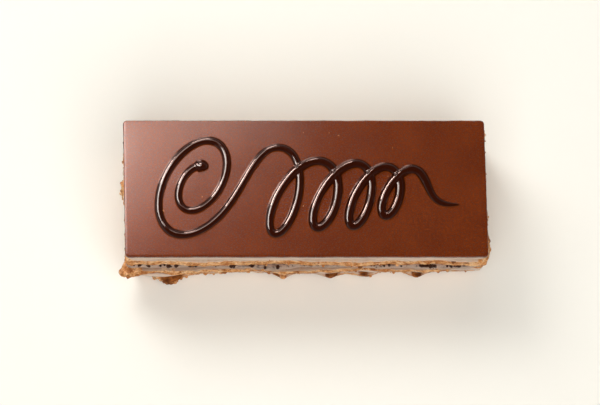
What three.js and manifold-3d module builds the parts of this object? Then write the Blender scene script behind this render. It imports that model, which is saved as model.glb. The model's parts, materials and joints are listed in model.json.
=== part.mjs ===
// An opera cake slice: three sheets of almond sponge with coffee buttercream and
// chocolate ganache between them, under a thin chocolate glaze that carries a
// piped chocolate flourish. Millimetres, +Z up, +X along the slice, +Y to its
// back, with the origin at the centre of the foot.
import * as THREE from "three";
import { mergeVertices } from "three/addons/utils/BufferGeometryUtils.js";
import Module from "manifold-3d";

const wasm = await Module();
wasm.setup();

// ---------------------------------------------------------------- slice sizes

const LENGTH = 110; // of the glazed top, left to right
const DEPTH = 42.5; // of the glazed top, front to back
const CORNER_RADIUS = 1.1;
const SKEW = 0.024; // the two end cuts lean: sideways run for each mm of depth
const FRONT_LEAN = { inset: 2.2, height: 9.8 }; // the front cut slants in below this height
const LONG_STEPS = 44; // chords along the front and the back
const SHORT_STEPS = 13; // chords along each end
const CORNER_STEPS = 3; // chords in each rounded corner

// The stack from the foot up. recess draws the cut in from the knife's plane, and
// wave is how far the cut wanders.
const LAYERS = [
  { name: "sponge_base", kind: "sponge", thickness: 6.2, recess: 0.4, wave: 0.45 },
  { name: "cream_lower", kind: "cream", thickness: 3.6, recess: 0.4, wave: 0.3 },
  { name: "sponge_middle", kind: "sponge", thickness: 5.4, recess: 0.1, wave: 0.4 },
  { name: "ganache", kind: "ganache", thickness: 3.9, recess: 0.25, wave: 0.3 },
  { name: "sponge_top", kind: "sponge", thickness: 6.6, recess: 0.1, wave: 0.3 },
  { name: "cream_upper", kind: "cream", thickness: 4.4, recess: 0.25, wave: 0.1 },
  { name: "glaze", kind: "glaze", thickness: 1.6, recess: 0, wave: 0.08 },
];
const STACK_HEIGHT = LAYERS.reduce((sum, layer) => sum + layer.thickness, 0);

// How the cut wanders: waves with whole cycles round the slice, the quicker the
// weaker. A share of it differs from one height in a layer to the next.
const WANDER = { cycles: [7, 19, 43], fade: 1.2, fine: 0.35 };

// Torn tongues of sponge and smears of filling that stand out of the cut, and
// bites where crumb has broken away (negative reach). x and y are shares of the
// half length and half depth, reach and spread are millimetres.
const AT_SIDE = 0.85; // past this share a tear belongs to that side
const TEARS = {
  sponge_base: [
    { x: -0.77, y: -1, reach: 3.2, spread: 5 },
    { x: -0.13, y: -1, reach: 2.2, spread: 3 },
    { x: 0.14, y: -1, reach: 1.6, spread: 3 },
    { x: 0.33, y: -1, reach: 1.5, spread: 3 },
    { x: 0.61, y: -1, reach: 1.7, spread: 3 },
    { x: 0.98, y: -1, reach: -1.6, spread: 12 },
    { x: -0.3, y: 1, reach: 1.2, spread: 5 },
    { x: 1, y: 0.3, reach: 1.0, spread: 4 },
  ],
  cream_lower: [
    { x: -0.84, y: -1, reach: 1.2, spread: 8 },
    { x: 0.9, y: -1, reach: -1.2, spread: 14 },
    { x: -0.5, y: 1, reach: 0.6, spread: 7 },
  ],
  sponge_middle: [
    { x: -1, y: -0.98, reach: 2.8, spread: 3.4 },
    { x: -0.62, y: -1, reach: 0.5, spread: 9 },
    { x: 0.9, y: -1, reach: -1.6, spread: 12 },
    { x: 0.35, y: 1, reach: 1.1, spread: 4 },
    { x: 1, y: -0.2, reach: 0.8, spread: 4 },
  ],
  ganache: [
    { x: 0.86, y: -1, reach: 1.0, spread: 4 },
    { x: 1, y: -1, reach: -1.3, spread: 4 },
    { x: -0.2, y: -1, reach: 0.4, spread: 6 },
    { x: 0.6, y: 1, reach: 0.8, spread: 5 },
  ],
  sponge_top: [
    { x: -1, y: -0.9, reach: 0.9, spread: 3 },
    { x: -1, y: 0.1, reach: 0.9, spread: 2.5 },
    { x: 1, y: -0.75, reach: 0.9, spread: 2.5 },
  ],
};

// ------------------------------------------------------------- flourish sizes

const LEAN = Math.tan(THREE.MathUtils.degToRad(17)); // slant of the piping hand
const BEAD_RADIUS = { scroll: 1.2, loops: 1.4, tip: 0.5 };
const BEAD_HEIGHT = 1.0; // height of the bead over its half width
const BEAD_SIDES = 6; // facets over the dome
const BEAD_STEP = 2.1; // spacing of the sections along the line
const SWELL = { from: 0.3, to: 0.6 }; // shares of the line between which it thickens
const KNOB = { radius: 2.0, length: 3.4 }; // the drop where the line begins
const TAPER = { length: 14, power: 0.6 }; // how the line thins out to its tip
// A line that crosses one piped before gains a share of its height. Stretches
// nearer than sameStrand along the line don't count as crossings.
const OVERLAY = { share: 0.6, sameStrand: 12 };
const SCROLL = {
  centre: new THREE.Vector2(-33, 2),
  halfWidth: 12.2,
  halfHeight: 17.2,
  turns: 1.66,
  inner: 0.22, // the innermost turn's size as a share of the outermost
  ease: 0.9, // power by which the turns open
  leave: THREE.MathUtils.degToRad(-58), // direction from the centre at its end
};
const LOOPS = {
  count: 4,
  start: -12.5, // centre of the first crest
  pitch: 13.2,
  halfWidth: 7.0,
  halfHeight: 13.2,
  shrink: 0.86, // each loop over the one before
  middle: -1.4,
  sway: { reach: 1.0, pace: 0.9 }, // the row wanders up and down
  uneven: { share: 0.07, pace: 2.6 }, // the loops differ in height
};
const TAIL = { turn: 0.5, reach: 14, flatten: 0.35 }; // the last half turn runs out flat
const LINK_PULL = { scroll: 14, loops: 9 }; // handle lengths of the joining curve

// -------------------------------------------------------------- layer outlines

/** A repeatable number from 0 to 1 for each whole seed. */
function hash(seed) {
  const x = Math.sin(seed * 127.1 + 11.7) * 43758.5453;
  return x - Math.floor(x);
}

/**
 * Points round a rounded rectangle, anticlockwise from the front left, each with
 * its outward normal and its share of the way round.
 */
function roundedRectangle(halfX, halfY, radius) {
  const [x, y] = [halfX - radius, halfY - radius];
  const signs = [[1, -1], [1, 1], [-1, 1], [-1, -1]];
  const corners = signs.map(([right, back]) => new THREE.Vector2(right * x, back * y));
  const outline = new THREE.CurvePath();
  corners.forEach((corner, i) => {
    const from = ((i - 1) * Math.PI) / 2;
    const edge = new THREE.Vector2(Math.cos(from), Math.sin(from)).multiplyScalar(radius);
    const [start, end] = [corners.at(i - 1), corner].map((point) => point.clone().add(edge));
    outline.add(new THREE.LineCurve(start, end));
    outline.add(new THREE.EllipseCurve(corner.x, corner.y, radius, radius, from, from + Math.PI / 2));
  });
  const sideSteps = [LONG_STEPS, CORNER_STEPS, SHORT_STEPS, CORNER_STEPS];
  const points = [];
  let walked = 0;
  outline.curves.forEach((curve, index) => {
    const steps = sideSteps[index % sideSteps.length];
    for (let i = 0; i < steps; i++) {
      const tangent = curve.getTangent(i / steps);
      const normal = new THREE.Vector2(tangent.y, -tangent.x);
      const share = (walked + (curve.getLength() * i) / steps) / outline.getLength();
      points.push({ at: curve.getPoint(i / steps), normal, share });
    }
    walked += curve.getLength();
  });
  return points;
}

/** How far the cut wanders from its plane at a share of the way round the slice. */
function wander(share, seed, amount) {
  return WANDER.cycles.reduce((sum, cycles, i) => {
    const phase = hash(seed * 10 + i) * Math.PI * 2;
    const wave = Math.sin(share * cycles * Math.PI * 2 + phase);
    return sum + (amount / (i + WANDER.fade)) * wave;
  }, 0);
}

/** The push of one layer's tears on a point: square to a side, slanting at a corner. */
function tearAt(point, tears) {
  const push = new THREE.Vector2();
  for (const { x, y, reach, spread } of tears) {
    const centre = new THREE.Vector2((x * LENGTH) / 2, (y * DEPTH) / 2);
    const near = point.distanceTo(centre) / spread;
    const sides = [x, y].map((share) => (Math.abs(share) > AT_SIDE ? Math.sign(share) : 0));
    const outward = new THREE.Vector2(...sides).normalize();
    push.addScaledVector(outward, reach * Math.exp(-near * near));
  }
  return push;
}

/** The heights at which a layer's side is shaped, as [share of thickness, extra recess]. */
const SIDE_PROFILES = {
  sponge: [
    [0, 0.15],
    [0.35, -0.1],
    [0.7, 0.1],
    [1, 0.05],
  ],
  cream: [
    [0, 0.1],
    [0.5, -0.15],
    [1, 0.1],
  ],
  ganache: [
    [0, 0.1],
    [0.5, -0.2],
    [1, 0.1],
  ],
  glaze: [
    [0, 0.05],
    [0.55, 0],
    [0.86, 0.22],
    [1, 0.75],
  ],
};

/** One layer's rings of points, from its underside to its top. */
function layerRings(layer, floor, seed) {
  return SIDE_PROFILES[layer.kind].map(([height, extra], level) => {
    const z = floor + height * layer.thickness;
    const inset = layer.recess + extra;
    const lean = FRONT_LEAN.inset * Math.max(0, 1 - z / FRONT_LEAN.height);
    const outline = roundedRectangle(
      LENGTH / 2 - inset,
      DEPTH / 2 - inset,
      CORNER_RADIUS + inset,
    );
    return outline.map(({ at, normal, share: along }) => {
      const broad = wander(along, seed, layer.wave);
      const fine = wander(along, seed * 7 + level, layer.wave * WANDER.fine);
      const slant = lean * Math.max(0, -normal.y);
      const cut = at.clone().addScaledVector(normal, broad + fine - slant);
      const { x, y } = cut.add(tearAt(at, TEARS[layer.name] ?? []));
      return new THREE.Vector3(x - SKEW * y, y, z);
    });
  });
}

// ------------------------------------------------------------------ solid makers

/** A closed mesh skinned over rings of equal count, its two ends closed by capOf. */
function skinRings(rings, capOf) {
  const count = rings[0].length;
  const topStart = (rings.length - 1) * count;
  const faces = [];
  for (let i = 0; i < count; i++) {
    const next = (i + 1) % count;
    for (let start = 0; start < topStart; start += count) {
      const [a, b] = [start + i, start + next];
      faces.push(a, b, b + count, a, b + count, a + count);
    }
  }
  for (const [a, b, c] of capOf(rings[0])) faces.push(c, b, a);
  for (const [a, b, c] of capOf(rings.at(-1))) faces.push(topStart + a, topStart + b, topStart + c);
  const geometry = new THREE.BufferGeometry().setFromPoints(rings.flat());
  geometry.setIndex(faces);
  geometry.computeVertexNormals();
  return geometry;
}

/** Triangles over a level ring of any outline. */
function levelCap(ring) {
  const outline = ring.map(({ x, y }) => new THREE.Vector2(x, y));
  return THREE.ShapeUtils.triangulateShape(outline, []);
}

/** Triangles over a ring that bulges everywhere, fanned from its first point. */
function fanCap(ring) {
  return ring.slice(2).map((_, i) => [0, i + 1, i + 2]);
}

/** A three.js geometry as a manifold-3d solid. */
function toSolid(geometry) {
  const bare = geometry.clone();
  bare.deleteAttribute("normal");
  const merged = mergeVertices(bare, 1e-4);
  return new wasm.Manifold(
    new wasm.Mesh({
      numProp: 3,
      vertProperties: merged.attributes.position.array,
      triVerts: new Uint32Array(merged.index.array),
    }),
  );
}

/** A manifold-3d solid as a three.js geometry. */
function toGeometry(solid) {
  const { vertProperties, triVerts } = solid.getMesh();
  const geometry = new THREE.BufferGeometry();
  geometry.setAttribute("position", new THREE.BufferAttribute(vertProperties, 3));
  geometry.setIndex(new THREE.BufferAttribute(triVerts, 1));
  geometry.computeVertexNormals();
  return geometry;
}

// -------------------------------------------------------------- flourish curves

/** The scroll: a slanted oval spiral that opens anticlockwise from its heart. */
class ScrollCurve extends THREE.Curve {
  getPoint(t, target = new THREE.Vector3()) {
    const angle = SCROLL.leave - Math.PI * 2 * SCROLL.turns * (1 - t);
    const size = SCROLL.inner + (1 - SCROLL.inner) * t ** SCROLL.ease;
    const y = SCROLL.halfHeight * size * Math.sin(angle);
    const x = SCROLL.halfWidth * size * Math.cos(angle) + LEAN * y;
    return target.set(SCROLL.centre.x + x, SCROLL.centre.y + y, 0);
  }
}

/** A stretch of the row of hanging loops, from one count of loops to another. */
class LoopsCurve extends THREE.Curve {
  constructor(from, to) {
    super();
    this.from = from;
    this.to = to;
  }

  getPoint(t, target = new THREE.Vector3()) {
    const { sway, uneven } = LOOPS;
    const k = THREE.MathUtils.lerp(this.from, this.to, t);
    const size = LOOPS.shrink ** k;
    const tail = THREE.MathUtils.clamp((k - LOOPS.count) / TAIL.turn, 0, 1);
    const advance = (LOOPS.pitch * (1 - size)) / (1 - LOOPS.shrink);
    const height = LOOPS.halfHeight * size * (1 + uneven.share * Math.cos(uneven.pace * k));
    const fall = height * (1 - tail * TAIL.flatten) * Math.cos(2 * Math.PI * k);
    const swing = LOOPS.halfWidth * size * (1 - tail) * Math.sin(2 * Math.PI * k);
    const middle = LOOPS.middle - sway.reach * Math.sin(sway.pace * k);
    const x = LOOPS.start + advance + swing + LEAN * fall + TAIL.reach * tail ** 2;
    return target.set(x, middle + fall, 0);
  }
}

/** The whole line as strokes of which none crosses itself, in the order piped. */
function flourishStrokes() {
  const scroll = new ScrollCurve();
  const firstLoop = new LoopsCurve(0, 0.5);
  const [start, end] = [scroll.getPoint(1), firstLoop.getPoint(0)];
  const out = scroll.getTangent(1).multiplyScalar(LINK_PULL.scroll).add(start);
  const back = firstLoop.getTangent(0).multiplyScalar(-LINK_PULL.loops).add(end);
  const opening = new THREE.CurvePath();
  opening.add(scroll);
  opening.add(new THREE.CubicBezierCurve3(start, out, back, end));
  opening.add(firstLoop);
  const strokes = [opening];
  for (let loop = 0; loop < LOOPS.count; loop++) {
    const last = loop === LOOPS.count - 1;
    strokes.push(new LoopsCurve(loop + 0.5, last ? LOOPS.count + TAIL.turn : loop + 1.5));
  }
  return strokes;
}

/** Every sample of the line, stroke by stroke, with its direction and half width. */
function flourishSamples() {
  const strokes = flourishStrokes();
  const lengths = strokes.map((stroke) => stroke.getLength());
  const total = lengths.reduce((sum, length) => sum + length, 0);
  let before = 0;
  return strokes.map((stroke, index) => {
    const steps = Math.round(lengths[index] / BEAD_STEP);
    const samples = stroke.getSpacedPoints(steps).map((at, i) => {
      const travelled = before + (lengths[index] * i) / steps;
      return { at, travelled, radius: beadRadius(travelled, total) };
    });
    before += lengths[index];
    return samples;
  });
}

/** The bead's half width at a distance along the line: knob, scroll, loops, thin tip. */
function beadRadius(travelled, total) {
  const { smoothstep, lerp, clamp } = THREE.MathUtils;
  const thicker = smoothstep(travelled / total, SWELL.from, SWELL.to);
  const body = lerp(BEAD_RADIUS.scroll, BEAD_RADIUS.loops, thicker);
  const knob = Math.sqrt(clamp(1 - (travelled / KNOB.length) ** 2, 0, 1));
  const toTip = clamp((total - travelled) / TAPER.length, 0, 1);
  return lerp(BEAD_RADIUS.tip, lerp(body, KNOB.radius, knob), toTip ** TAPER.power);
}

/** How much a sample rides up over the part of the line piped before it. */
function overlayAt(sample, earlier) {
  return earlier.reduce((most, other) => {
    if (sample.travelled - other.travelled < OVERLAY.sameStrand) return most;
    const near = sample.at.distanceTo(other.at) / (2 * other.radius);
    const lift = OVERLAY.share * BEAD_HEIGHT * other.radius * Math.exp(-near * near);
    return Math.max(most, lift);
  }, 0);
}

/** One section of the bead: a dome over a flat foot, scaled for the rounded ends. */
function beadSection(sample, direction, scale, shift) {
  const left = new THREE.Vector3(-direction.y, direction.x, 0);
  const centre = sample.at.clone().addScaledVector(direction, shift);
  const height = (sample.radius * BEAD_HEIGHT + sample.overlay) * scale;
  const ring = [];
  for (let i = 0; i <= BEAD_SIDES; i++) {
    const angle = (Math.PI * i) / BEAD_SIDES;
    const out = sample.radius * scale * Math.cos(angle);
    ring.push(centre.clone().addScaledVector(left, out).setZ(height * Math.sin(angle)));
  }
  return ring;
}

/** A stroke as a closed bead of chocolate with rounded ends. */
function beadGeometry(samples) {
  const directions = samples.map((_, i) => {
    const [a, b] = [samples[Math.max(i - 1, 0)], samples[Math.min(i + 1, samples.length - 1)]];
    return new THREE.Vector3().subVectors(b.at, a.at).normalize();
  });
  const rounded = [0.35, 0.8]; // sections of each rounded end, as sizes
  const reach = (sample, size) => sample.radius * Math.sqrt(1 - size * size);
  const [first, last] = [samples[0], samples.at(-1)];
  const rings = [
    ...rounded.map((size) => beadSection(first, directions[0], size, -reach(first, size))),
    ...samples.map((sample, i) => beadSection(sample, directions[i], 1, 0)),
    ...rounded
      .toReversed()
      .map((size) => beadSection(last, directions.at(-1), size, reach(last, size))),
  ];
  return skinRings(rings, fanCap);
}

/** The piped line: its strokes as beads, joined into one solid standing on z = 0. */
function flourishGeometry() {
  const strokes = flourishSamples();
  const all = strokes.flat();
  for (const sample of all) sample.overlay = overlayAt(sample, all);
  return toGeometry(
    strokes.map((samples) => toSolid(beadGeometry(samples))).reduce((a, b) => a.add(b)),
  );
}

// ---------------------------------------------------------------- the materials

const MATERIALS = {
  sponge: new THREE.MeshStandardMaterial({ color: 0xd39a5e, roughness: 0.95 }),
  cream: new THREE.MeshStandardMaterial({ color: 0xe3cdb4, roughness: 0.6 }),
  ganache: new THREE.MeshStandardMaterial({ color: 0x5a3a2c, roughness: 0.5 }),
  glaze: new THREE.MeshStandardMaterial({ color: 0x5c2a14, roughness: 0.35 }),
  piping: new THREE.MeshStandardMaterial({ color: 0x2a0c06, roughness: 0.12 }),
};

// ------------------------------------------------------------------ the assembly

const cake = new THREE.Group();
let floor = 0;
LAYERS.forEach((layer, index) => {
  const geometry = skinRings(layerRings(layer, floor, index + 1), levelCap);
  const mesh = new THREE.Mesh(geometry, MATERIALS[layer.kind]);
  mesh.name = layer.name;
  cake.add(mesh);
  floor += layer.thickness;
});

const flourish = new THREE.Mesh(flourishGeometry(), MATERIALS.piping);
flourish.name = "piped_flourish";
flourish.position.z = STACK_HEIGHT;
cake.add(flourish);

// The torn sides are uneven, so the slice is centred on what it really spans.
const span = new THREE.Box3().setFromObject(cake).getCenter(new THREE.Vector3());
cake.position.set(-span.x, -span.y, 0);

export default cake;
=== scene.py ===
"""A slice of opera cake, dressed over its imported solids.

Three sheets of almond sponge, two coffee buttercreams and a chocolate ganache
lie under a thin chocolate glaze that carries a piped chocolate flourish.
Lengths are millimetres until they go into a mesh, which holds metres. +X runs
along the slice, +Y to its back and +Z up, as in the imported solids.
"""

from __future__ import annotations

import json
import logging
import math
from dataclasses import dataclass, field
from enum import Enum

import bpy
import numpy as np
from numpy.typing import NDArray
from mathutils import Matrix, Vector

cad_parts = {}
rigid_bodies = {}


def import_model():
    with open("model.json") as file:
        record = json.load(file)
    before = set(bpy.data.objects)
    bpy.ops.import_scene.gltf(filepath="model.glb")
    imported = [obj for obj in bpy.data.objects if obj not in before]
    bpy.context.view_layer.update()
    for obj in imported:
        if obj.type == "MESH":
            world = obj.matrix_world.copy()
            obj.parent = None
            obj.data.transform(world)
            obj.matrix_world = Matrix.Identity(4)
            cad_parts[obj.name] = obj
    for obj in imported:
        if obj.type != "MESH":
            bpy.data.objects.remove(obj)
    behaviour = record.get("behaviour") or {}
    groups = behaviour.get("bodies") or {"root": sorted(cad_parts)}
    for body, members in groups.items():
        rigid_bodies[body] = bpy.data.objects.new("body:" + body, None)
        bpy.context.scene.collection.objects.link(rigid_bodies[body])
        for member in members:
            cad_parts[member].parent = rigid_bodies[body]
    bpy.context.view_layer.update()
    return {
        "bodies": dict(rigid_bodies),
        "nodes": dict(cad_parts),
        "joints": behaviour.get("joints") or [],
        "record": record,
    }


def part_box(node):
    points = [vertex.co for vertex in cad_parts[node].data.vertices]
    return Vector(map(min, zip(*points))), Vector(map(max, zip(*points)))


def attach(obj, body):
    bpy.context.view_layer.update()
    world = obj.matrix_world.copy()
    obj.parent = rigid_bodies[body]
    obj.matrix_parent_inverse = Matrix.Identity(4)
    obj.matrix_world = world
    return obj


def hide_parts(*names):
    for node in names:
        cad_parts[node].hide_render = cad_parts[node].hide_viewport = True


LOG = logging.getLogger("opera_cake")
MM = 0.001
BODY = "root"
Floats = NDArray[np.float64]
Whole = NDArray[np.int64]
Socket = bpy.types.NodeSocket

# The end cuts aren't square to the long cuts: sideways run for each mm of depth.
SKEW = 0.024
# The cut sides are laid out from a smaller rectangle this far inside the slice.
CORE_INSET = 5.0
# A quarter turn.
QUARTER = math.pi / 2.0


# ------------------------------------------------------------------------ noise

HASH_PRIMES = (73856093, 19349663, 83492791)
HASH_SEED_PRIME = 668265263
HASH_SHIFTS = (15, 12, 14)
HASH_STIR = 0x2C1B3C6D
HASH_MASK = 0xFFFFFFFF
HASH_RANGE = 2.0**32
# Each octave of layered noise takes its pattern this many seeds on from the last.
OCTAVE_STEP = 17


def cell_hash(cells: Floats, seed: int) -> Floats:
    """Gives each whole-number cell a repeatable number from 0 to 1.

    The three indices times large primes are joined by exclusive or, stirred by
    shifts and products, and divided by 2^32.

    Args:
        cells: Whole numbers, (..., 3).
        seed: Chooses one of many unrelated patterns.

    Returns:
        Numbers from 0 to 1, (...).
    """
    whole = cells.astype(np.int64)
    mixed = np.full(whole.shape[:-1], seed * HASH_SEED_PRIME, dtype=np.int64)
    for axis, prime in enumerate(HASH_PRIMES):
        mixed ^= whole[..., axis] * prime
    mixed &= HASH_MASK
    for shift in HASH_SHIFTS:
        mixed ^= mixed >> shift
        mixed = (mixed * HASH_STIR) & HASH_MASK
    return mixed / HASH_RANGE


def smooth_noise(points: Floats, cell: float, seed: int) -> Floats:
    """Noise from 0 to 1 that changes smoothly from cell to cell.

    The hashes of a cell's eight corners are blended by 3t² - 2t³ along each axis.

    Args:
        points: Places, (..., 3).
        cell: Length of a cell, in the points' unit.
        seed: Pattern number.

    Returns:
        Noise, (...).
    """
    scaled = points / cell
    base = np.floor(scaled)
    part = scaled - base
    blend = part * part * (3.0 - 2.0 * part)
    total = np.zeros(points.shape[:-1])
    for corner in np.ndindex(2, 2, 2):
        offset = np.array(corner)
        weight = np.prod(np.where(offset == 1, blend, 1.0 - blend), axis=-1)
        total += weight * cell_hash(base + offset, seed)
    return total


def layered_noise(points: Floats, cell: float, seed: int, octaves: int = 3) -> Floats:
    """Noise from -1 to 1: octaves of smooth noise, each half as long and half as strong.

    The sum is divided by 2 - 0.5^(octaves - 1), the sum of the octaves' strengths.

    Args:
        points: Places, (..., 3).
        cell: Length of the broadest octave's cell.
        seed: Pattern number.
        octaves: How many octaves are added.

    Returns:
        Noise, (...).
    """
    total = np.zeros(points.shape[:-1])
    for octave in range(octaves):
        share = 0.5**octave
        pattern = smooth_noise(points, cell * share, seed + OCTAVE_STEP * octave)
        total += share * (2.0 * pattern - 1.0)
    return total / (2.0 - 0.5 ** (octaves - 1))


@dataclass(frozen=True)
class Bubbles:
    """Round air pits of one size range.

    Attributes:
        cell: Spacing of the bubbles.
        smallest: Least radius.
        largest: Greatest radius.
        share: How many of the cells hold a bubble.
    """

    cell: float
    smallest: float
    largest: float
    share: float

    def depth(self, points: Floats, seed: int) -> Floats:
        """Depth of the pits at each point.

        Each cell holds one bubble of radius r at a random place, and a point at
        distance d from its centre sinks by sqrt(r² - d²). The deepest counts. The
        radius grows with the square of its draw, so small bubbles are the commonest.

        Args:
            points: Places, (..., 3).
            seed: Pattern number.

        Returns:
            Depths, (...), from 0 to the largest radius.
        """
        base = np.floor(points / self.cell)
        deepest = np.zeros(points.shape[:-1])
        for step in np.ndindex(3, 3, 3):
            cells = base + np.array(step) - 1.0
            jitter = np.stack([cell_hash(cells, seed + axis) for axis in range(3)], axis=-1)
            size = cell_hash(cells, seed + 3) ** 2
            present = cell_hash(cells, seed + 4) < self.share
            radius = np.where(present, self.smallest + (self.largest - self.smallest) * size, 0.0)
            distance = np.linalg.norm(points - (cells + jitter) * self.cell, axis=-1)
            deepest = np.maximum(deepest, np.sqrt(np.maximum(radius**2 - distance**2, 0.0)))
        return deepest


def bell(distance: Floats, width: float) -> Floats:
    """A smooth bump, exp(-(distance / width)²)."""
    return np.exp(-((distance / width) ** 2))


def smooth_step(share: Floats) -> Floats:
    """Eases a share from 0 to 1 by 3t² - 2t³, held at 0 and 1 outside them."""
    t = np.clip(share, 0.0, 1.0)
    return t * t * (3.0 - 2.0 * t)


def on_the_level(points: Floats) -> Floats:
    """Level points at height 0, (..., 3), from places in the plan, (..., 2)."""
    return np.concatenate([points, np.zeros_like(points[..., :1])], axis=-1)


def travelled_along(line: Floats) -> Floats:
    """How far along a line each of its points lies, (count,)."""
    return np.concatenate([[0.0], np.cumsum(np.linalg.norm(np.diff(line, axis=0), axis=1))])


# ----------------------------------------------------------------------- meshes


def strip_faces(rows: int, columns: int) -> Whole:
    """Quads between neighbouring rings of a skin that closes on itself.

    Args:
        rows: How many rings.
        columns: Points in a ring.

    Returns:
        Vertex numbers, (faces, 4), facing out when rings run anticlockwise upwards.
    """
    row, column = np.meshgrid(np.arange(rows - 1), np.arange(columns), indexing="ij")
    here = row * columns + column
    beside = row * columns + (column + 1) % columns
    return np.stack([here, beside, beside + columns, here + columns], axis=-1).reshape(-1, 4)


def fan_faces(ring: Whole, centre: int, upward: bool) -> Whole:
    """Triangles from a ring to one centre point.

    Args:
        ring: The ring's vertex numbers, anticlockwise seen from above.
        centre: The centre's vertex number.
        upward: Whether the triangles face up.

    Returns:
        Vertex numbers, (faces, 3).
    """
    beside = np.roll(ring, -1)
    pair = (ring, beside) if upward else (beside, ring)
    return np.stack([*pair, np.full(len(ring), centre)], axis=-1)


def mark_points(mesh: bpy.types.Mesh, name: str, values: Floats) -> None:
    """Gives a mesh a number for each vertex, under a name that a finish reads."""
    attribute = mesh.attributes.new(name, "FLOAT", "POINT")
    attribute.data.foreach_set("value", values.reshape(-1).astype(np.float32))


def points_of(mesh: bpy.types.Mesh) -> Floats:
    """A mesh's vertices in millimetres, (count, 3)."""
    flat = np.empty(len(mesh.vertices) * 3)
    mesh.vertices.foreach_get("co", flat)
    return flat.reshape(-1, 3) / MM


def make_piece(
    name: str,
    points: Floats,
    faces: list[Whole],
    material: bpy.types.Material,
    marks: dict[str, Floats] | None = None,
) -> bpy.types.Object:
    """Makes a smooth-shaded mesh object at the origin.

    Args:
        name: The piece's name.
        points: Vertices in millimetres, (..., 3).
        faces: Arrays of vertex numbers, one array for each count of corners.
        material: Its finish.
        marks: Numbers for each vertex, by name, that the finish reads.

    Returns:
        The object.
    """
    mesh = bpy.data.meshes.new(name)
    corners = [face for group in faces for face in group.tolist()]
    mesh.from_pydata((points.reshape(-1, 3) * MM).tolist(), [], corners)
    mesh.polygons.foreach_set("use_smooth", np.ones(len(mesh.polygons), dtype=bool))
    for mark, values in (marks or {}).items():
        mark_points(mesh, mark, values)
    mesh.materials.append(material)
    mesh.update()
    piece = bpy.data.objects.new(name, mesh)
    bpy.context.scene.collection.objects.link(piece)
    return piece


def settle(piece: bpy.types.Object, slot: str, *nodes: str) -> None:
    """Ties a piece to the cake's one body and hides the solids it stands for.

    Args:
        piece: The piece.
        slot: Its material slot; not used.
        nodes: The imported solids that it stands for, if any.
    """
    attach(piece, BODY)
    for node in nodes:
        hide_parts(node)
    LOG.info("%s: %d faces", piece.name, len(piece.data.polygons))


# ---------------------------------------------------------------- shader helpers

# Inputs of the Map Range node: its value, the range that it reads and the one it gives.
VALUE, LOW, HIGH, LEAST, MOST = range(5)
# Inputs of the Mix node for colours, and its output.
SHARE, UNDER, OVER = 0, 6, 7
BLENDED = 2
# Inputs of the Math node, in their order.
FIRST, SECOND, THIRD = range(3)


def linear(colour: str) -> tuple[float, float, float, float]:
    """Turns an sRGB hex colour such as "#c08040" to linear RGBA.

    Each channel c becomes c / 12.92 up to 0.04045, and ((c + 0.055) / 1.055)^2.4 past it.
    """
    channels = [int(colour[i : i + 2], 16) / 255.0 for i in (1, 3, 5)]
    bright = [c / 12.92 if c <= 0.04045 else ((c + 0.055) / 1.055) ** 2.4 for c in channels]
    return (bright[0], bright[1], bright[2], 1.0)


def feed(tree: bpy.types.NodeTree, node: bpy.types.Node, inputs: dict) -> None:
    """Gives a node's inputs their values.

    Args:
        tree: The node tree.
        node: The node.
        inputs: For each input, by name or number, a socket to link, an sRGB hex
            colour or a plain value.
    """
    for key, value in inputs.items():
        if isinstance(value, bpy.types.NodeSocket):
            tree.links.new(value, node.inputs[key])
        else:
            node.inputs[key].default_value = linear(value) if isinstance(value, str) else value


def add_node(
    tree: bpy.types.NodeTree, kind: str, inputs: dict | None = None, **settings: object
) -> bpy.types.Node:
    """Adds a shader node.

    Args:
        tree: The node tree.
        kind: The node's type without its "ShaderNode" start.
        inputs: What feed gives its inputs.
        settings: The node's own properties.

    Returns:
        The node.
    """
    node = tree.nodes.new("ShaderNode" + kind)
    for name, value in settings.items():
        setattr(node, name, value)
    feed(tree, node, inputs or {})
    return node


def per_mm(size: float) -> float:
    """The texture scale at which a noise feature is size millimetres across."""
    return 1.0 / (size * MM)


class Shader:
    """A finish in the making: one Principled surface and the nodes that feed it."""

    def __init__(self, name: str) -> None:
        """Starts a material with only a Principled shader and its output.

        Args:
            name: What the real material is and how its surface was made.
        """
        self.material = bpy.data.materials.new(name)
        self.material.use_nodes = True
        self.tree = self.material.node_tree
        self.surface = self.tree.nodes["Principled BSDF"]
        self.place = self.add("TexCoord", "Object")

    def add(
        self, kind: str, output: str | int, inputs: dict | None = None, **settings: object
    ) -> Socket:
        """Adds a node to the finish by add_node and returns one of its outputs."""
        return add_node(self.tree, kind, inputs, **settings).outputs[output]

    def dress(self, **inputs: object) -> bpy.types.Material:
        """Feeds the surface, its sockets named with underscores for spaces, and returns the material."""
        named = {name.replace("_", " "): value for name, value in inputs.items()}
        feed(self.tree, self.surface, named)
        return self.material


# --------------------------------------------------------------------- finishes


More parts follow.
